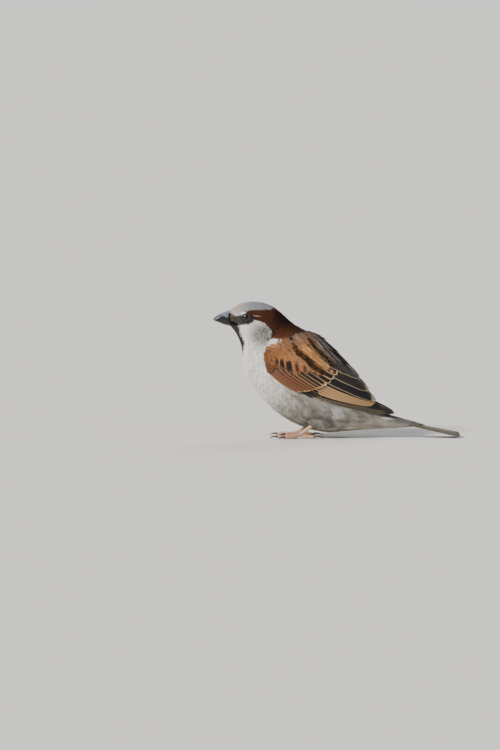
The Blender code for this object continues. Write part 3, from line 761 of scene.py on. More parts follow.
def flight_feathers(rng):
    """Primaries, secondaries and tertials of one wing, with the small coverts of the primaries."""
    primaries = wing_row(rng, [(-20, 25.0), (-18, 27.0)],
                         [(30.6, 13.7), (32.3, 14.2), (31.6, 14.9), (30.2, 15.5), (28.2, 16.1),
                          (26.2, 16.6), (24.2, 17.1), (22.4, 17.6)],
                         8, 4.6, -1.35, -1.05, 7, -0.55, 0.03, 0.02, 1.2)
    primaries["colour"] = dyed(primaries, rng, PRIMARY, PRIMARY_EDGE * 0.85, PRIMARY, 0.88, 0.9)
    secondaries = wing_row(rng, [(-18, 30.0), (-15, 35.6)], [(20.0, 18.9), (21.6, 20.2)], 5, 5.0,
                           -0.95, -0.50, 9, -0.5, 0.05, 0.02, 1.4)
    secondaries["colour"] = dyed(secondaries, rng, PRIMARY, CINNAMON, CINNAMON, 0.64, 0.97, 0.05)
    tertials = wing_row(rng, [(-14, 38.4), (-12, 43.0), (-9, 46.6)],
                        [(21.9, 21.2), (17.6, 27.4), (12.2, 34.6)], 3, (6.0, 7.4, 8.6),
                        -0.60, 0.0, 13, -0.25, 0.12, 0.03, 0.4, 20)
    tertials["colour"] = dyed(tertials, rng, mix(INK, SLATE, (0, 0.2, 0.6)), SAND,
                              mix(SAND, SLATE, (0, 0.2, 0.8)), 0.88, 0.97, 0.06)
    small = wing_row(rng, [(-27, 31.0), (-23, 33.0)], [(-13.5, 23.4), (-9.5, 23.9), (-6.0, 24.6)], 4, 2.4,
                     -1.1, -0.95, 7, -0.3, 0.04)
    small["colour"] = dyed(small, rng, PRIMARY, PRIMARY, PRIMARY_EDGE * 0.7, 0.8)
    return [primaries, secondaries, tertials, small]


def covert_feathers(rng):
    """Greater and median coverts of one wing. The outer ones are chestnut, the inner ones black."""
    count = 12
    inner = ramp(np.arange(count), 4.5, 8.0)
    roots = [(-39.4, 39.4), (-37, 41.0), (-31, 43.0), (-24, 44.4), (-15, 45.4)]
    tips = [(-20.6, 27.2), (-17.4, 27.4), (-14.0, 28.0), (-10.8, 29.0), (-7.4, 30.2), (-3.4, 32.6),
            (0.2, 37.0)]
    greater = wing_row(rng, roots, tips, count, np.linspace(3.8, 6.2, count), -0.9, -0.2, 13, -0.3, 0.02,
                       bow=np.linspace(1.3, 0.2, count), rows=18)
    greater["colour"] = dyed(greater, rng, mix(rgb("#3E261A"), INK, inner),
                             mix(WING_CHESTNUT, rgb("#A98359"), inner),
                             mix(rgb("#B08A62"), SAND, inner), 0.50 + 0.26 * inner, 0.955, 0.08)
    roots = [(-40.2, 49.0), (-38.0, 49.6), (-35.0, 50.6), (-32.0, 49.9), (-28.3, 49.6), (-24.0, 48.0),
             (-19.4, 46.0)]
    tips = [(-39.0, 42.8), (-36.2, 42.0), (-33.2, 40.4), (-30.2, 38.4), (-26.0, 36.0), (-21.6, 35.8),
            (-17.4, 36.2)]
    line_u, line_v = between(roots, tips, 7, np.linspace(0, 1, 6))
    median = locks(wing, line_u, line_v, np.array([3.6, 3.8, 4.2, 4.6, 5.4, 5.2, 5.0]), np.full(7, -0.5),
                   np.linspace(0.14, 0.18, 7), 19, rng, rows=4, fan=0.5, reach=0.35, split=0.75)
    t, c = median["t"], median["c"]
    median["colour"] = dyed(median, rng, WING_CHESTNUT, ORANGE, rgb("#B08A60"), 0.6, 0.93)
    size = np.array([0.1, 0.3, 0.62, 0.8, 1.08, 0.45, 0.4])[:, None]
    spot = 1 - ramp(np.hypot(c / (0.62 * size), (t - 0.62) / (0.30 + 0.04 * size)), 0.8, 1.15)
    median["colour"] = mix(median["colour"], INK * 0.7, 0.96 * spot * ramp(size, 0.1, 0.6))
    return [greater, median]


def small_coverts(rng):
    """Lesser coverts: short chestnut feathers spread over the front of the folded wing."""
    u, v = evenly(0, 520)
    u, v = 1.9 * u, 0.30 + 0.72 * v
    p = wing(u, v)
    below = through([(-44, 52.5), (-38, 52.2), (-32, 51.5), (-24, 48.5), (-18, 44.5)], p[:, 0]) - p[:, 2]
    band = through([(28, -36), (33, -38.4), (36, -38.6), (41, -38.0), (44, -37.0), (46, -31), (48, -20),
                    (53, -18)], p[:, 2])
    keep = (below > 0) & (p[:, 0] < band) & (v < 0.96 - 0.06 * u)
    u, v, p = u[keep], v[keep], p[keep]
    length = rng.uniform(3.6, 4.8, len(u)) * (1 - 0.35 * ramp(v, 0.75, 0.95))
    turn = rng.normal(-0.05, 0.08, len(u)) - 0.25 * ramp(v, 0.7, 0.95)
    line_u, line_v = walk(wing, u, v, turn, length, 4)
    batch = locks(wing, line_u, line_v, length * 0.75, np.full(len(u), -0.6),
                  rng.uniform(-0.25, 0.0, len(u)), 9, rng, reach=0.35, split=0.6)
    colour = mix(WING_CHESTNUT, ORANGE, ramp(p[:, 2], 38, 45))
    batch["colour"] = dyed(batch, rng, colour * 0.85, colour, colour * 1.1, 0.5, 0.9)
    at = batch["points"]
    streak = 1 - ramp(np.abs(at[..., 0] + 37.8 - (51.5 - at[..., 2]) * 0.28), 0.4, 0.8)
    streak = streak * ramp(at[..., 2], 43.5, 45) * (1 - ramp(at[..., 2], 50.5, 52))
    batch["colour"] = mix(batch["colour"], SLATE * 0.5, 0.9 * streak)
    return batch


def shoulder_front(rng):
    """Little feathers over the front of the shoulder, which hide the roots of the rows behind."""
    u, v = evenly(0, 520)
    u = 1.5 * u - 0.5
    keep = u > -0.02 - 0.48 * ramp(-v, -0.6, -0.3)
    u, v = u[keep], v[keep]
    p = wing(u, v)
    length = rng.uniform(2.6, 3.6, len(u)) * (0.8 + 0.3 * ramp(u, 0, 0.9))
    turn = rng.normal(-0.05, 0.12, len(u)) - 0.3 * ramp(v, 0.8, 1.0)
    line_u, line_v = walk(wing, u, v, turn, length, 4)
    high = 0.12 - 0.5 * ramp(-u, -0.2, 0.5) - 0.22 * ramp(u, 0.2, 0.95)
    batch = locks(wing, line_u, line_v, length * 0.7, np.full(len(u), -0.7), high, 7, rng,
                  reach=0.35, split=0.6)
    colour = mix(WING_CHESTNUT, rgb("#A06B42"), ramp(p[:, 2], 43, 49))
    colour = mix(colour, rgb("#7A5A44"), ramp(p[:, 2], 53, 58))
    colour = mix(colour, BROWN, 0.35 * rng.uniform(0, 1, len(u)) ** 2)
    colour = mix(markings(batch["middle"]), colour, np.maximum(ramp(u, -0.25, 0.2), ramp(v, 0.4, 0.6)))
    batch["colour"] = dyed(batch, rng, colour * 0.85, colour, colour * 1.08, 0.5, 0.9)
    return batch


def hidden_scapulars(rng):
    """Shorter feathers under the scapulars, which close the gaps between their rows."""
    u, v = evenly(0, 260)
    u, v = 3.5 * u, 0.5 * v
    length = rng.uniform(5.5, 7.5, len(u))
    line_u, line_v = walk(wing, u, v, rng.normal(0.1, 0.1, len(u)), length, 4)
    batch = locks(wing, line_u, line_v, length * 0.62, np.full(len(u), -1.1), np.full(len(u), -0.65),
                  7, rng)
    brown = mix(rgb("#8A5C38"), BROWN, np.maximum(ramp(v, 0.12, 0.0), ramp(u, 1.5, 4.0)))
    batch["colour"] = dyed(batch, rng, brown * 0.6, brown, brown, 0.4)
    return batch


# Rows of scapular and mantle feathers, from the coverts up to the back. Each has its line in side view,
# its colour, how black its streak is, the streak's share of the vane, the feathers' length and width,
# and how high the row lies over its neighbours.
SCAPULAR_ROWS = (
    (((-36.8, 50.6), (-34.0, 49.3), (-28.5, 46.4), (-22.5, 42.6), (-16.5, 39.2)),
     "#A8754B", 0.35, 0.16, 6.4, 4.0, 0.0),
    (((-34.6, 52.6), (-32.0, 51.6), (-27.4, 48.6), (-22.0, 44.9), (-16.0, 41.0), (-11.0, 37.6)),
     "#B47F54", 0.3, 0.14, 6.8, 4.2, 0.03),
    (((-31.8, 55.2), (-30.0, 53.9), (-27.8, 51.4), (-24.5, 47.6)), "#B07A4E", 0.75, 0.3, 6.0, 4.2, 0.06),
    (((-26.6, 58.0), (-25.0, 53.8), (-22.4, 49.8), (-17.6, 45.2), (-12.8, 40.9), (-7.6, 37.6)),
     "#A06B3F", 1.0, 0.68, 7.4, 5.4, 0.30),
    (((-23.0, 59.0), (-20.3, 54.6), (-16.8, 50.2), (-12.2, 45.8), (-7.2, 41.6), (-2.4, 38.4)),
     "#D2965E", 0.45, 0.12, 7.0, 4.4, 0.12),
    (((-19.0, 59.2), (-15.4, 55.4), (-11.2, 50.8), (-6.9, 46.2), (-2.4, 41.9), (1.9, 38.2)),
     "#927052", 1.0, 0.58, 7.6, 4.8, 0.24),
    # These two top rows are grey partly by their own colour and partly by a painted grey highlight.
    (((-15.2, 59.0), (-11.0, 55.6), (-6.8, 51.2), (-2.7, 46.5), (1.8, 42.0), (5.7, 38.5)),
     "#8A7D75", 0.85, 0.36, 7.8, 4.6, 0.20),
    (((-11.2, 57.6), (-6.6, 54.0), (-2.0, 49.2), (2.6, 44.2), (6.7, 40.0), (9.6, 36.8)),
     "#736E6D", 1.0, 0.46, 8.0, 4.8, 0.24),
)


def scapulars(rng):
    """Mantle side and shoulder feathers, in rows down the back whose black streaks run on."""
    batches = [hidden_scapulars(rng)]
    for line, colour, black, streak, length, width, lift in SCAPULAR_ROWS:
        line_u, line_v, grown = along(line, length, 2.2, rng)
        count = len(line_u)
        high = rng.uniform(-0.08, 0.05, count) + lift
        batch = locks(wing, line_u, line_v, width * grown, np.full(count, -0.8), high, 15, rng,
                      rows=4, fan=0.55, reach=0.35, split=0.6, loose=0.04)
        base = mix(rgb(colour), BROWN, rng.uniform(0, 0.28, count))
        batch["colour"] = dyed(batch, rng, base * 0.9, base, mix(base, SAND, 0.3), 0.5, 0.9)
        t, c = batch["t"], batch["c"]
        half = streak * rng.uniform(0.72, 1.35, (count, 1))
        dark = (1 - ramp(np.abs(c), half * 0.75, half * 1.25)) * (1 - 0.5 * ramp(t, 0.86, 1.0))
        batch["colour"] = mix(batch["colour"], INK * 0.7, 0.96 * black * dark)
        batches.append(batch)
    return batches


# ---------------------------------------------------------------- tail feathers


def rectrices(rng, count=6, rows=18, columns=9):
    """Six tail feathers of the right side, the middle one on top and the outermost underneath."""
    k = np.arange(count)
    t = toward_tip(rows)
    tip_v = (k[:, None] + 0.15) / count * 0.86
    line_v = 0.25 * tip_v + 0.75 * tip_v * t
    reach = 1 - (TAIL_NOTCH * (1 - tip_v) + 0.3) / TAIL_LENGTH
    line_u = reach * t
    batch = vanes(tail, line_u, line_v, t, np.full(count, 6.2), -0.25 - 0.10 * k, -0.10 - 0.13 * k,
                  columns, rng, offset=-0.35, camber=0.02, thick=0.14, tilt=0.08)
    batch["colour"] = dyed(batch, rng, rgb("#3A322B"), rgb("#857763"), rgb("#4A4138"), 0.80, 0.975)
    return batch


def shared_cells(batches):
    """Gives every vane of these batches its own square of the bake map."""
    total = sum(len(b["points"]) for b in batches)
    first = 0
    for batch in batches:
        batch["uv"], batch["patch"] = cells(len(batch["points"]), first, total)
        first += len(batch["points"])
    return batches


# ---------------------------------------------------------------- tubes, skin, legs


def capped(rings):
    """Points and quads of a closed form through rings, with a point in the middle of each end."""
    rows, columns = rings.shape[:2]
    points = np.concatenate([rings.reshape(-1, 3), rings[:1].mean(1), rings[-1:].mean(1)])
    i = np.arange(columns)
    j = (i + 1) % columns
    none = np.full(columns, -1)
    last = (rows - 1) * columns
    start = np.stack([np.full(columns, rows * columns), i, j, none], -1)
    end = np.stack([np.full(columns, rows * columns + 1), last + j, last + i, none], -1)
    quads = grid_quads(grid_index(rows, columns), close_columns=True)
    return points, np.concatenate([quads, start, end])


def tube(path, radii, sides):
    """Rings round a path: radius times (cos, sin) in the plane across it. Each ring has one radius, or
    one for every side."""
    path, radii = np.asarray(path, float), np.asarray(radii, float)
    radii = np.broadcast_to(radii.reshape(len(path), -1), (len(path), sides))[..., None]
    way = unit(np.gradient(path, axis=0))
    level = unit(np.cross(way, (0.0, 0.0, 1.0)))
    upright = np.cross(level, way)
    turn = np.linspace(0, TAU, sides, endpoint=False)
    aside = np.cos(turn)[None, :, None] * level[:, None]
    rise = np.sin(turn)[None, :, None] * upright[:, None]
    return path[:, None] + radii * (aside + rise)


def joined(parts):
    """Several (points, quads) as one."""
    points, quads, first = [], [], 0
    for p, q in parts:
        points.append(p)
        quads.append(np.where(q >= 0, q + first, -1))
        first += len(p)
    return np.concatenate(points), np.concatenate(quads)


def turned_out(piece):
    """Turns every face of a closed piece outwards."""
    shape = bmesh.new()
    shape.from_mesh(piece.data)
    bmesh.ops.recalc_face_normals(shape, faces=shape.faces)
    shape.to_mesh(piece.data)
    shape.free()
    return piece


def scaled(far, radius, sides=LEG_SIDES):
    """Radii of a scaled leg: each scute rises along its length and drops at its end, on the upper side."""
    upper = np.clip(np.sin(np.linspace(0, TAU, sides, endpoint=False)), 0, 1) ** 0.5
    step = (far / SCUTE) % 1
    rise = np.where(step < 0.8, step / 0.8, (1 - step) / 0.2)
    return radius[:, None] * (1 + 0.085 * rise[:, None] * upper)


def toe(kind, side):
    """A toe: pads swell its underside, scutes its top, and both ends are round."""
    angle, length, pads, _ = TOES[kind]
    way = math.radians(angle)
    t = np.linspace(0, 1, 96)
    far = t * length
    radius = TOE_RADIUS + (TOE_TIP_RADIUS - TOE_RADIUS) * t
    ends = np.minimum(1, (far + 0.02) / 0.9) * np.minimum(1, (length - far + 0.15) / 0.75)
    radius = scaled(far, radius * np.sqrt(np.clip(ends, 0, 1)) * 0.97)
    under = np.clip(-np.sin(np.linspace(0, TAU, LEG_SIDES, endpoint=False)), 0, 1)
    radius = radius * (1 + 0.10 * np.cos(TAU * pads * t)[:, None] * under)
    path = np.stack([FOOT_X - far * math.cos(way), side * (LEG_Y + far * math.sin(way)),
                     TOE_RADIUS * 1.1 - TOE_SINK + FOOT_RISE * (1 - t) ** 3], 1)
    return capped(tube(path, radius, LEG_SIDES))


def leg_line(side):
    """The ankle and the middle of the foot of one leg."""
    ankle = np.array([ANKLE[0], side * LEG_Y, ANKLE[1]])
    return ankle, np.array([FOOT_X, side * LEG_Y, TOE_RADIUS + FOOT_RISE])


def leg_parts(side):
    """Tarsus, ball of the foot and toes of one leg."""
    ankle, foot = leg_line(side)
    t = np.linspace(0, 1, 110)
    reach = np.linalg.norm(foot - ankle)
    knob = 0.94 + 0.30 * np.exp(-(((t - 1.0) / 0.10) ** 2)) + 0.35 * np.exp(-(((t - 0.02) / 0.15) ** 2))
    knob = knob * np.sqrt(np.clip((1.045 - t) / 0.09, 0, 1))
    path = ankle + (foot - ankle) * t[:, None] * 1.04
    parts = [capped(tube(path, scaled(t * reach, TARSUS_RADIUS * knob), LEG_SIDES))]
    return parts + [toe(kind, side) for kind in TOES]


def sleeve(side):
    """The surface of the short feathers round the top of the tarsus, where it leaves the belly."""
    ankle, foot = leg_line(side)
    way = unit(foot - ankle)
    across = np.array([0.0, 1.0, 0.0])
    third = np.cross(across, way)

    def surface(u, v):
        """A tube round the tarsus that narrows downwards."""
        radius = 2.0 - 0.7 * ramp(u, 0.2, 0.6)
        centre = ankle + (foot - ankle) * np.asarray(u)[..., None]
        around = np.cos(v)[..., None] * across + np.sin(v)[..., None] * third
        return centre + radius[..., None] * around

    return surface


def thigh(side, sunk=0.0):
    """The surface of the thigh: an ellipsoid whose long axis runs back and down. Section 0 is its front
    end and section pi its rear end."""
    tilt = math.radians(THIGH_TILT)
    long_axis = np.array([math.cos(tilt), 0.0, math.sin(tilt)])
    third = np.array([math.sin(tilt), 0.0, -math.cos(tilt)])
    middle = np.array([THIGH_CENTRE[0], side * (LEG_Y + 0.6), THIGH_CENTRE[1]])
    reach, half, tall = (axis - sunk for axis in THIGH_AXES)

    def surface(u, v):
        """The middle, plus the half axes times -cos u, sin u cos v and sin u sin v."""
        u, v = np.asarray(u)[..., None], np.asarray(v)[..., None]
        across = half * np.cos(v) * np.array([0.0, 1.0, 0.0]) + tall * np.sin(v) * third
        return middle - reach * np.cos(u) * long_axis + np.sin(u) * across

    return surface


def leg_feathers(rng, side):
    """Feathers of the thigh, and a short cuff of them round the top of the tarsus."""
    batches = []
    for surface, count, sections, length, width in (
        (thigh(side), 440, (0.4, 2.75), (3.6, 5.0), 2.0),
        (sleeve(side), 90, (0.12, 0.36), (1.6, 2.4), 1.0),
    ):
        u, v = rng.uniform(*sections, count), rng.uniform(0, TAU, count)
        # A feather near the thigh's rear end is short, so that none runs over it.
        reach = np.minimum(rng.uniform(*length, count), THIGH_AXES[1] * (math.pi - u) - 0.3)
        line_u, line_v = walk(surface, u, v, rng.normal(0, 0.12, count), reach, 5)
        batch = locks(surface, line_u, line_v, np.full(count, width), np.full(count, -0.6),
                      rng.uniform(-0.1, 0.12, count), 7, rng)
        share = (u - sections[0]) / (sections[1] - sections[0])
        start = 0.02 + 0.24 * len(batches) + (0.0 if side < 0 else 0.5)
        batch["uv"] = np.stack([0.9 + 0.09 * share, v / TAU * 0.22 + start], -1)
        colour = markings(batch["middle"])[:, None] * rng.uniform(0.92, 1.06, (count, 1, 1))
        batch["colour"] = colour * (batch["tone"] * (0.72 + 0.32 * batch["t"]))[..., None]
        batches.append(batch)
    return batches


def body_skin(rows=90, columns=72):
    """The body, in from the plumage's outline by the depth of the coat."""
    s = np.linspace(-0.12, len(BODY) - 1, rows)[:, None]
    a = np.linspace(0, TAU, columns, endpoint=False)[None]
    s, a = np.broadcast_arrays(s, a)
    _, _, normal = tangents(body, s, a)
    return capped(body(s, a) - normal * spline(COAT_DEPTH, s)[..., None])


def wing_pad(side):
    """The arm under the wing's coverts: a flat pillow between the body and the wing's outer sheet."""
    u, v = np.meshgrid(np.linspace(0.12, PAD_END, PAD_ROWS), np.linspace(0.05, 0.93, PAD_COLUMNS),
                       indexing="ij")
    _, _, normal = tangents(wing, u, v)
    sheet = wing(u, v)
    top = sheet - normal * PAD_TOP
    under = sheet - normal * (PAD_UNDER - PAD_TAPER * u / PAD_END)[..., None]
    ring = np.concatenate([top, under[:, ::-1]], 1) * (1, side, 1)
    return capped(ring)


# ---------------------------------------------------------------- materials


def add(tree, kind, settings=None, inputs=None):
    """Adds a node with its settings. An input is a value, or the output of another node."""
    made = tree.nodes.new(kind)
    for name, value in (settings or {}).items():
        setattr(made, name, value)
    for name, value in (inputs or {}).items():
        if isinstance(value, bpy.types.NodeSocket):
            tree.links.new(value, made.inputs[name])
        else:
            made.inputs[name].default_value = value
    return made


def shader(name, **sockets):
    """A material with its Principled shader's constant sockets set."""
    made = bpy.data.materials.new(name)
    made.use_nodes = True
    principled = made.node_tree.nodes["Principled BSDF"]
    for socket, value in sockets.items():
        principled.inputs[socket.replace("_", " ")].default_value = value
    return made, made.node_tree, principled


def feather_keratin(name, barb, contrast, bump, roughness):
    """Feather keratin, dyed by melanin, darker along the shaft. Barbs run out from it at a slant, at
    this spacing in millimetres, which is drawn coarser than a real feather's so that it shows."""
    made, tree, principled = shader(name, Roughness=roughness, Sheen_Weight=0.05, Sheen_Roughness=0.5,
                                    Specular_IOR_Level=0.25)
    tint = add(tree, "ShaderNodeAttribute", {"attribute_name": "tint"}).outputs["Color"]
    vane = add(tree, "ShaderNodeAttribute", {"attribute_name": "vane"}).outputs["Vector"]
    part = add(tree, "ShaderNodeSeparateXYZ", inputs={0: vane}).outputs
    aside = add(tree, "ShaderNodeMath", {"operation": "ABSOLUTE"}, {0: part["X"]}).outputs[0]
    slant = add(tree, "ShaderNodeMath", {"operation": "MULTIPLY_ADD"},
                {0: aside, 1: -1.1, 2: part["Y"]}).outputs[0]
    wander = add(tree, "ShaderNodeTexNoise", inputs={"Vector": vane, "Scale": 0.6, "Detail": 1.0})
    bent = add(tree, "ShaderNodeMath", {"operation": "MULTIPLY_ADD"},
               {0: wander.outputs["Fac"], 1: barb * 2.0, 2: slant}).outputs[0]
    wave = add(tree, "ShaderNodeMath", {"operation": "MULTIPLY"}, {0: bent, 1: TAU / barb}).outputs[0]
    sine = add(tree, "ShaderNodeMath", {"operation": "SINE"}, {0: wave}).outputs[0]
    tone = add(tree, "ShaderNodeMath", {"operation": "MULTIPLY_ADD"},
               {0: sine, 1: contrast, 2: 1.0 - contrast * 0.3}).outputs[0]
    shaft = add(tree, "ShaderNodeMath", {"operation": "LESS_THAN"},
                {0: aside, 1: SHAFT_WIDTH / 2}).outputs[0]
    tone = add(tree, "ShaderNodeMath", {"operation": "MULTIPLY_ADD"},
               {0: shaft, 1: -0.45, 2: tone}).outputs[0]
    colour = add(tree, "ShaderNodeVectorMath", {"operation": "SCALE"}, {0: tint, "Scale": tone})
    tree.links.new(colour.outputs[0], principled.inputs["Base Color"])
    raised = add(tree, "ShaderNodeBump", inputs={"Strength": bump, "Distance": 0.0001, "Height": sine})
    tree.links.new(raised.outputs[0], principled.inputs["Normal"])
    return made


def tinted(name, scale, contrast, bump, **sockets):
    """A surface that takes its colour from its points, with a fine grain: this many grains a metre."""
    made, tree, principled = shader(name, **sockets)
    tint = add(tree, "ShaderNodeAttribute", {"attribute_name": "tint"}).outputs["Color"]
    place = add(tree, "ShaderNodeTexCoord").outputs["Object"]
    grain = add(tree, "ShaderNodeTexNoise", inputs={"Vector": place, "Scale": scale, "Detail": 4.0})
    tone = add(tree, "ShaderNodeMath", {"operation": "MULTIPLY_ADD"},
               {0: grain.outputs["Fac"], 1: contrast, 2: 1.0 - contrast / 2}).outputs[0]
    colour = add(tree, "ShaderNodeVectorMath", {"operation": "SCALE"}, {0: tint, "Scale": tone})
    tree.links.new(colour.outputs[0], principled.inputs["Base Color"])
    raised = add(tree, "ShaderNodeBump",
                 inputs={"Strength": bump, "Distance": 0.0001, "Height": grain.outputs["Fac"]})
    tree.links.new(raised.outputs[0], principled.inputs["Normal"])
    return made


# ---------------------------------------------------------------- build

LEG_PINK = rgb("#C9A28A")

# Loose keratin barbs scatter the light, so the coat is matt. Its grain is a little over 1 mm.
DOWN = tinted("contour_feather_keratin", 900, 0.14, 0.15, Roughness=0.85, Specular_IOR_Level=0.08)
# Barbs that are zipped into a smooth vane give it a faint silky shine.
VANE = feather_keratin("flight_feather_keratin", 0.45, 0.08, 0.12, 0.55)
# Dry horny scales have a dull, broken shine.
SKIN = tinted("scaled_leg_skin_and_body_skin", 900, 0.25, 0.3, Roughness=0.55)
# Horn that use has polished shows a soft highlight.
HORN = tinted("polished_bill_and_claw_horn", 700, 0.18, 0.12, Roughness=0.32, Specular_IOR_Level=0.5)
# A film of tears makes the eye mirror its lights sharply.
WET = tinted("wet_eye", 50, 0.0, 0.0, Roughness=0.03, Specular_IOR_Level=0.4)


def build_skin():
    """One skin under the whole coat and over the bare legs. On the body it has the coat's markings."""
    legs = []
    for side in SIDES.values():
        legs += leg_parts(side)
    u, v = np.meshgrid(np.linspace(0.05, math.pi - 0.05, 24), np.linspace(0, TAU, 32, endpoint=False),
                       indexing="ij")
    thighs = [capped(thigh(side, 1.0)(u, v)) for side in SIDES.values()]
    parts = [joined([body_skin()] + thighs), wing_pad(-1), wing_pad(1)]
    trunk_points, body_points = len(parts[0][0]), sum(len(p) for p, _ in parts)
    points, quads = joined(parts + legs)
    piece = turned_out(make_mesh("skin", points, quads, 50))
    colour = markings(points) * 0.8
    # Each row of an arm has its upper points first, then its lower ones. The two ends come last.
    row = np.repeat([BROWN * 0.6, ASH], PAD_COLUMNS, 0)
    pad = np.concatenate([np.tile(row, (PAD_ROWS, 1)), [BROWN, BROWN]])
    colour[trunk_points:body_points] = np.concatenate([pad, pad])
    grain = 0.5 + 0.5 * mottle(points[body_points:], 1.2, 9)
    colour[body_points:] = mix(LEG_PINK, rgb("#A97E68"), grain)
    paint(piece, colour)
    piece.data.materials.append(SKIN)
    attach(piece, "root")
    flesh = ["head", "neck", "trunk", "rump"]
    for name in SIDES:
        flesh += [f"thigh_{name}", f"tarsus_{name}", f"foot_{name}"]
    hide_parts(*flesh)
    return piece


def build_plumage():
    """The coat, in pieces along the body, with the bristles and the thighs' feathers."""
    rng = np.random.default_rng(7)
    stretches = (
        # piece, first and last section, crowding, width over length, locks a feather, slot (not used)
        ("plumage_face", 0.0, 1.5, 0.10, 0.55, 5, "head"),
        ("plumage_crown", 1.5, 2.4, 0.075, 0.5, 7, "head"),
        ("plumage_nape", 2.4, 3.35, 0.075, 0.5, 7, "head"),
        ("plumage_neck", 3.35, 4.9, 0.06, 0.5, 9, "neck"),
        ("plumage_breast", 4.9, 6.5, 0.045, 0.48, 9, "body"),
        ("plumage_flanks", 6.5, 8.75, 0.045, 0.46, 9, "body"),
        ("plumage_rump", 8.75, 10.95, 0.04, 0.36, 9, "rump"),
    )
    for name, first, last, crowding, aspect, barbs, slot in stretches:
        batches = [contour(first, last, rng, crowding, aspect, barbs, 3)]
        if name == "plumage_face":
            batches.append(bristles(rng))
        if name == "plumage_rump":
            batches += leg_feathers(rng, -1) + leg_feathers(rng, 1)
        coat_piece(name, batches, DOWN)


def build_wings():
    """Both folded wings, each with its own random feathers. The left one is mirrored."""
    for name, seed in (("left", 11), ("right", 12)):
        rng = np.random.default_rng(seed)
        flight = shared_cells(flight_feathers(rng))
        coverts = shared_cells(covert_feathers(rng) + [small_coverts(rng), shoulder_front(rng)])
        shoulder = shared_cells(scapulars(rng))
        if name == "left":
            flight, coverts, shoulder = ([mirrored(b) for b in g] for g in (flight, coverts, shoulder))
        made = coat_piece(f"wing_{name}_flight_feathers", flight, VANE)
        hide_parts(f"wing_{name}_primaries", f"wing_{name}_secondaries")
        made = coat_piece(f"wing_{name}_covert_feathers", coverts, VANE)
        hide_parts(f"wing_{name}_coverts")
        coat_piece(f"mantle_{name}_feathers", shoulder, DOWN)


def build_tail():
    """The tail's twelve feathers."""
    rng = np.random.default_rng(21)
    right, left = rectrices(rng), mirrored(rectrices(rng))
    piece = coat_piece("tail_feathers", shared_cells([right, left]), VANE)
    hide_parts("tail")


def eye_frame(side):
    """The middle of an eyeball and three directions: out of the head, back and up."""
    s, a = np.array(1.45), np.array(math.pi / 2)
    for _ in range(8):
        du, dv, normal = tangents(body, s, a)
        error = np.array([EYE["x"], EYE["z"]]) - body(s, a)[[0, 2]]
        move = np.linalg.solve(np.stack([du[[0, 2]], dv[[0, 2]]], 1), error)
        s, a = s + move[0], a + move[1]
    out = unit(normal * (0.6, 1, 0.6)) * (1, side, 1)
    back = unit(np.array([1.0, 0.0, 0.0]) - out * out[0])
    up = np.cross(out, back) * -side
    return np.array([EYE["x"], side * EYE["y"], EYE["z"]]), out, back, up * np.sign(up[2])


def turned_form(frame_axes, profile, sides):
    """A form turned round the eye's axis: profile gives angles from the axis, in degrees, and radii."""
    middle, out, back, up = frame_axes
    angle, radius = np.radians(profile[:, 0])[:, None], profile[:, 1][:, None]
    turn = np.linspace(0, TAU, sides, endpoint=False)[None]
    squint = 1 - EYE["squint"] * np.sin(turn) ** 2
    angle = angle * squint
    across = np.cos(turn)[..., None] * back + np.sin(turn)[..., None] * up
    way = np.cos(angle)[..., None] * out + np.sin(angle)[..., None] * across
    return middle + radius[..., None] * way


def build_eyes():
    """Each eye is a wet ball with a black pupil and a dark brown iris, and a ring of lids round it."""
    for name, side in SIDES.items():
        axes = eye_frame(side)
        angle = np.linspace(3, 120, 40)
        profile = np.stack([angle, np.full(len(angle), EYE["radius"])], 1)
        ball = turned_form(axes, profile, EYE_SIDES)
        points, quads = capped(ball)
        eyeball = turned_out(make_mesh(f"eye_{name}_ball", points, quads))
        off = np.degrees(np.arccos(np.clip(unit(points - axes[0]) @ axes[1], -1, 1)))
        iris = ramp(off, 26, 29) * (1 - ramp(off, 40, 46))
        paint(eyeball, mix(rgb("#040303"), rgb("#1C120D"), iris))
        eyeball.data.materials.append(WET)
        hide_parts(f"eye_{name}")
        turn = np.linspace(0, TAU, LID_POINTS, endpoint=False)
        rim = np.stack([EYE["lid"] + 2.2 * np.cos(turn), EYE["radius"] + 0.04 + 0.10 * np.sin(turn)], 1)
        skirt = np.stack([EYE["lid"] + 13 + 12 * np.cos(turn), EYE["radius"] + 0.06 * np.sin(turn)], 1)
        parts = []
        for profile in (rim, skirt):
            rings = turned_form(axes, profile, EYE_SIDES)
            quads = grid_quads(grid_index(LID_POINTS, EYE_SIDES), close_rows=True, close_columns=True)
            parts.append((rings.reshape(-1, 3), quads))
        points, quads = joined(parts)
        lids = turned_out(make_mesh(f"eye_{name}_lids", points, quads))
        folds = 0.5 + 0.5 * mottle(points, 0.5, 10)
        on_rim = np.arange(len(points)) < LID_POINTS * EYE_SIDES
        paint(lids, mix(rgb("#0E0C0B"), mix(rgb("#38332F"), rgb("#6B645D"), folds), on_rim))
        lids.data.materials.append(SKIN)
        for piece in (eyeball, lids):
            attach(piece, "root")


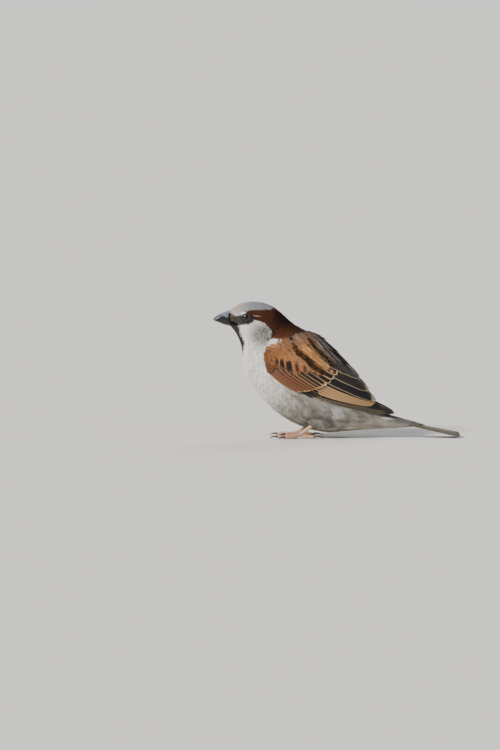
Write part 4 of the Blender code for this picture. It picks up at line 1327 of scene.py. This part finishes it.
def build_claws():
    """The claws arch over and come down to a point, and darken towards it."""
    for name, side in SIDES.items():
        for kind, (angle, length, _, reach) in TOES.items():
            way = math.radians(angle)
            t = np.linspace(0, 1, 16)
            far = length - 0.25 + t * (reach + 0.5)
            height = 1.0 + 0.75 * np.sin(math.pi * t**0.9) * (1 - 0.35 * t) - 0.76 * t**1.6
            radius = 0.62 * (1 - t) ** 0.75 + 0.06
            path = np.stack([FOOT_X - far * math.cos(way), side * (LEG_Y + far * math.sin(way)),
                             height], 1)
            points, quads = capped(tube(path, radius, 14))
            piece = turned_out(make_mesh(f"claw_horn_{name}_{kind}", points, quads))
            out = np.hypot(points[:, 0] - FOOT_X, points[:, 1] - side * LEG_Y)
            paint(piece, mix(rgb("#5A4A40"), rgb("#2A211C"), ramp(out, length, length + reach)))
            piece.data.materials.append(HORN)
            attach(piece, "root")
            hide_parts(f"claw_{name}_{kind}")


def build_bill():
    """Two sheaths, each a row of half ovals from the cutting edge to the culmen or to the keel."""
    at = np.concatenate([[-0.3, -0.1], np.linspace(0, 1, 60) ** 0.9 * 3])
    turn = np.linspace(0, math.pi, 49)
    halves = (("upper", CULMEN, CUTTING_EDGE, 1), ("lower", CUTTING_EDGE, KEEL, -1))
    for name, high_line, low_line, up in halves:
        high, low = spline(high_line, at), spline(low_line, at)
        half = BILL_HALF_WIDTH * np.sqrt(1 - (np.maximum(at, 0) / 3.12) ** 1.7)
        half = half * (1.0 if up > 0 else 0.94)
        base, tall = (low, high - low) if up > 0 else (high, low - high)
        # The upper half closes over the lower one, whose edge stands inside it.
        start = 0.0 if up > 0 else 0.45 * np.sqrt(np.clip(half / BILL_HALF_WIDTH, 0, 1))
        lift = np.sin(turn) ** 0.9
        z = base[:, 1, None] + np.reshape(start, (-1, 1)) * (1 - lift) + tall[:, 1, None] * lift
        x = np.repeat(((high if up > 0 else low)[:, 0])[:, None], len(turn), 1)
        y = half[:, None] * np.cos(turn) * (1 - 0.06 * np.sin(turn) ** 6)
        rings = np.stack([x, y, z], -1)
        points, quads = capped(rings)
        edge_z = np.interp(-points[:, 0], [-p[0] for p in CUTTING_EDGE], [p[1] for p in CUTTING_EDGE])
        rise = np.abs(points[:, 2] - edge_z)
        # The upper sheath's blue-grey towards the culmen is a painted reflection of the sky on the dark
        # horn.
        colour = mix(rgb("#100F11"), rgb("#747A8D") if up > 0 else rgb("#131214"), ramp(rise, 0.8, 2.8))
        tip = 1 - ramp(points[:, 0], -69.6, -67.6)
        colour = mix(colour, rgb("#8D8C90"), 0.6 * tip)
        if up > 0:
            ridge = 1 - ramp(np.abs(points[:, 1]), 0.2, 0.9)
            colour = mix(colour, rgb("#3C3E48"), 0.6 * ridge)
            hole = 1 - ramp(np.hypot((points[:, 0] + 61.5) / 1.6, points[:, 2] - 69.3), 0.15, 0.5)
            points = points - hole[:, None] * np.sign(points[:, 1:2]) * (0.0, 0.22, 0.0)
            colour = mix(colour, rgb("#0C0B0B"), hole)
        piece = turned_out(make_mesh(f"bill_{name}_sheath", points, quads, 50))
        paint(piece, colour)
        piece.data.materials.append(HORN)
        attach(piece, "root")
        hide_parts(f"bill_{name}")


def build_stage():
    """A pale paper floor, a soft sky, and three soft lamps."""
    far = 60000.0  # half the floor's side
    corners = np.array([(-far, -far, 0), (far, -far, 0), (far, far, 0), (-far, far, 0)])
    floor = make_mesh("floor", corners, np.array([[0, 1, 2, 3]]))
    made, _, _ = shader("matte_studio_paper", Base_Color=(*rgb("#E6E4E1"), 1.0), Roughness=0.9)
    floor.data.materials.append(made)
    world = bpy.data.worlds.new("studio")
    bpy.context.scene.world = world
    world.use_nodes = True
    sky = world.node_tree.nodes["Background"].inputs
    sky["Color"].default_value = (0.88, 0.93, 1.0, 1)
    sky["Strength"].default_value = 0.34
    lamps = (
        # lamp, where it stands, its strength, how wide it looks in degrees, colour
        ("key", (-900, -650, 720), 5.0, 12, (1.0, 0.965, 0.91)),
        ("fill", (900, -700, 500), 0.4, 60, (0.90, 0.94, 1.0)),
        ("rim", (300, 900, 700), 0.9, 30, (1.0, 0.97, 0.93)),
    )
    for name, place, strength, degrees, colour in lamps:
        light = bpy.data.lights.new(name, "SUN")
        light.angle, light.energy, light.color = math.radians(degrees), strength, colour
        lamp = bpy.data.objects.new(name, light)
        bpy.context.scene.collection.objects.link(lamp)
        aim(lamp, np.array(place, float), np.array((0.0, 0.0, 35.0)))


def aim(thing, place, goal):
    """Puts a camera or lamp at a place, looking at the goal, with Z up."""
    thing.location = Vector(place * MM)
    thing.rotation_mode = "QUATERNION"
    thing.rotation_quaternion = Vector(goal - place).to_track_quat("-Z", "Y")


def build_camera():
    """A long lens, side on, that looks down a little."""
    reach, elevation, seen_height = 4000.0, math.radians(4.0), 420.0
    sensor = 36.0
    goal = np.array((-48.7, 0.0, 35.0))
    place = goal + reach * np.array((0.0, -math.cos(elevation), math.sin(elevation)))
    data = bpy.data.cameras.new("camera")
    data.sensor_width, data.lens = sensor, sensor * reach / seen_height
    data.clip_end = 100.0
    camera = bpy.data.objects.new("camera", data)
    bpy.context.scene.collection.objects.link(camera)
    aim(camera, place, goal)
    bpy.context.scene.camera = camera


build_skin()
build_plumage()
build_wings()
build_tail()
build_eyes()
build_bill()
build_claws()
build_stage()
build_camera()
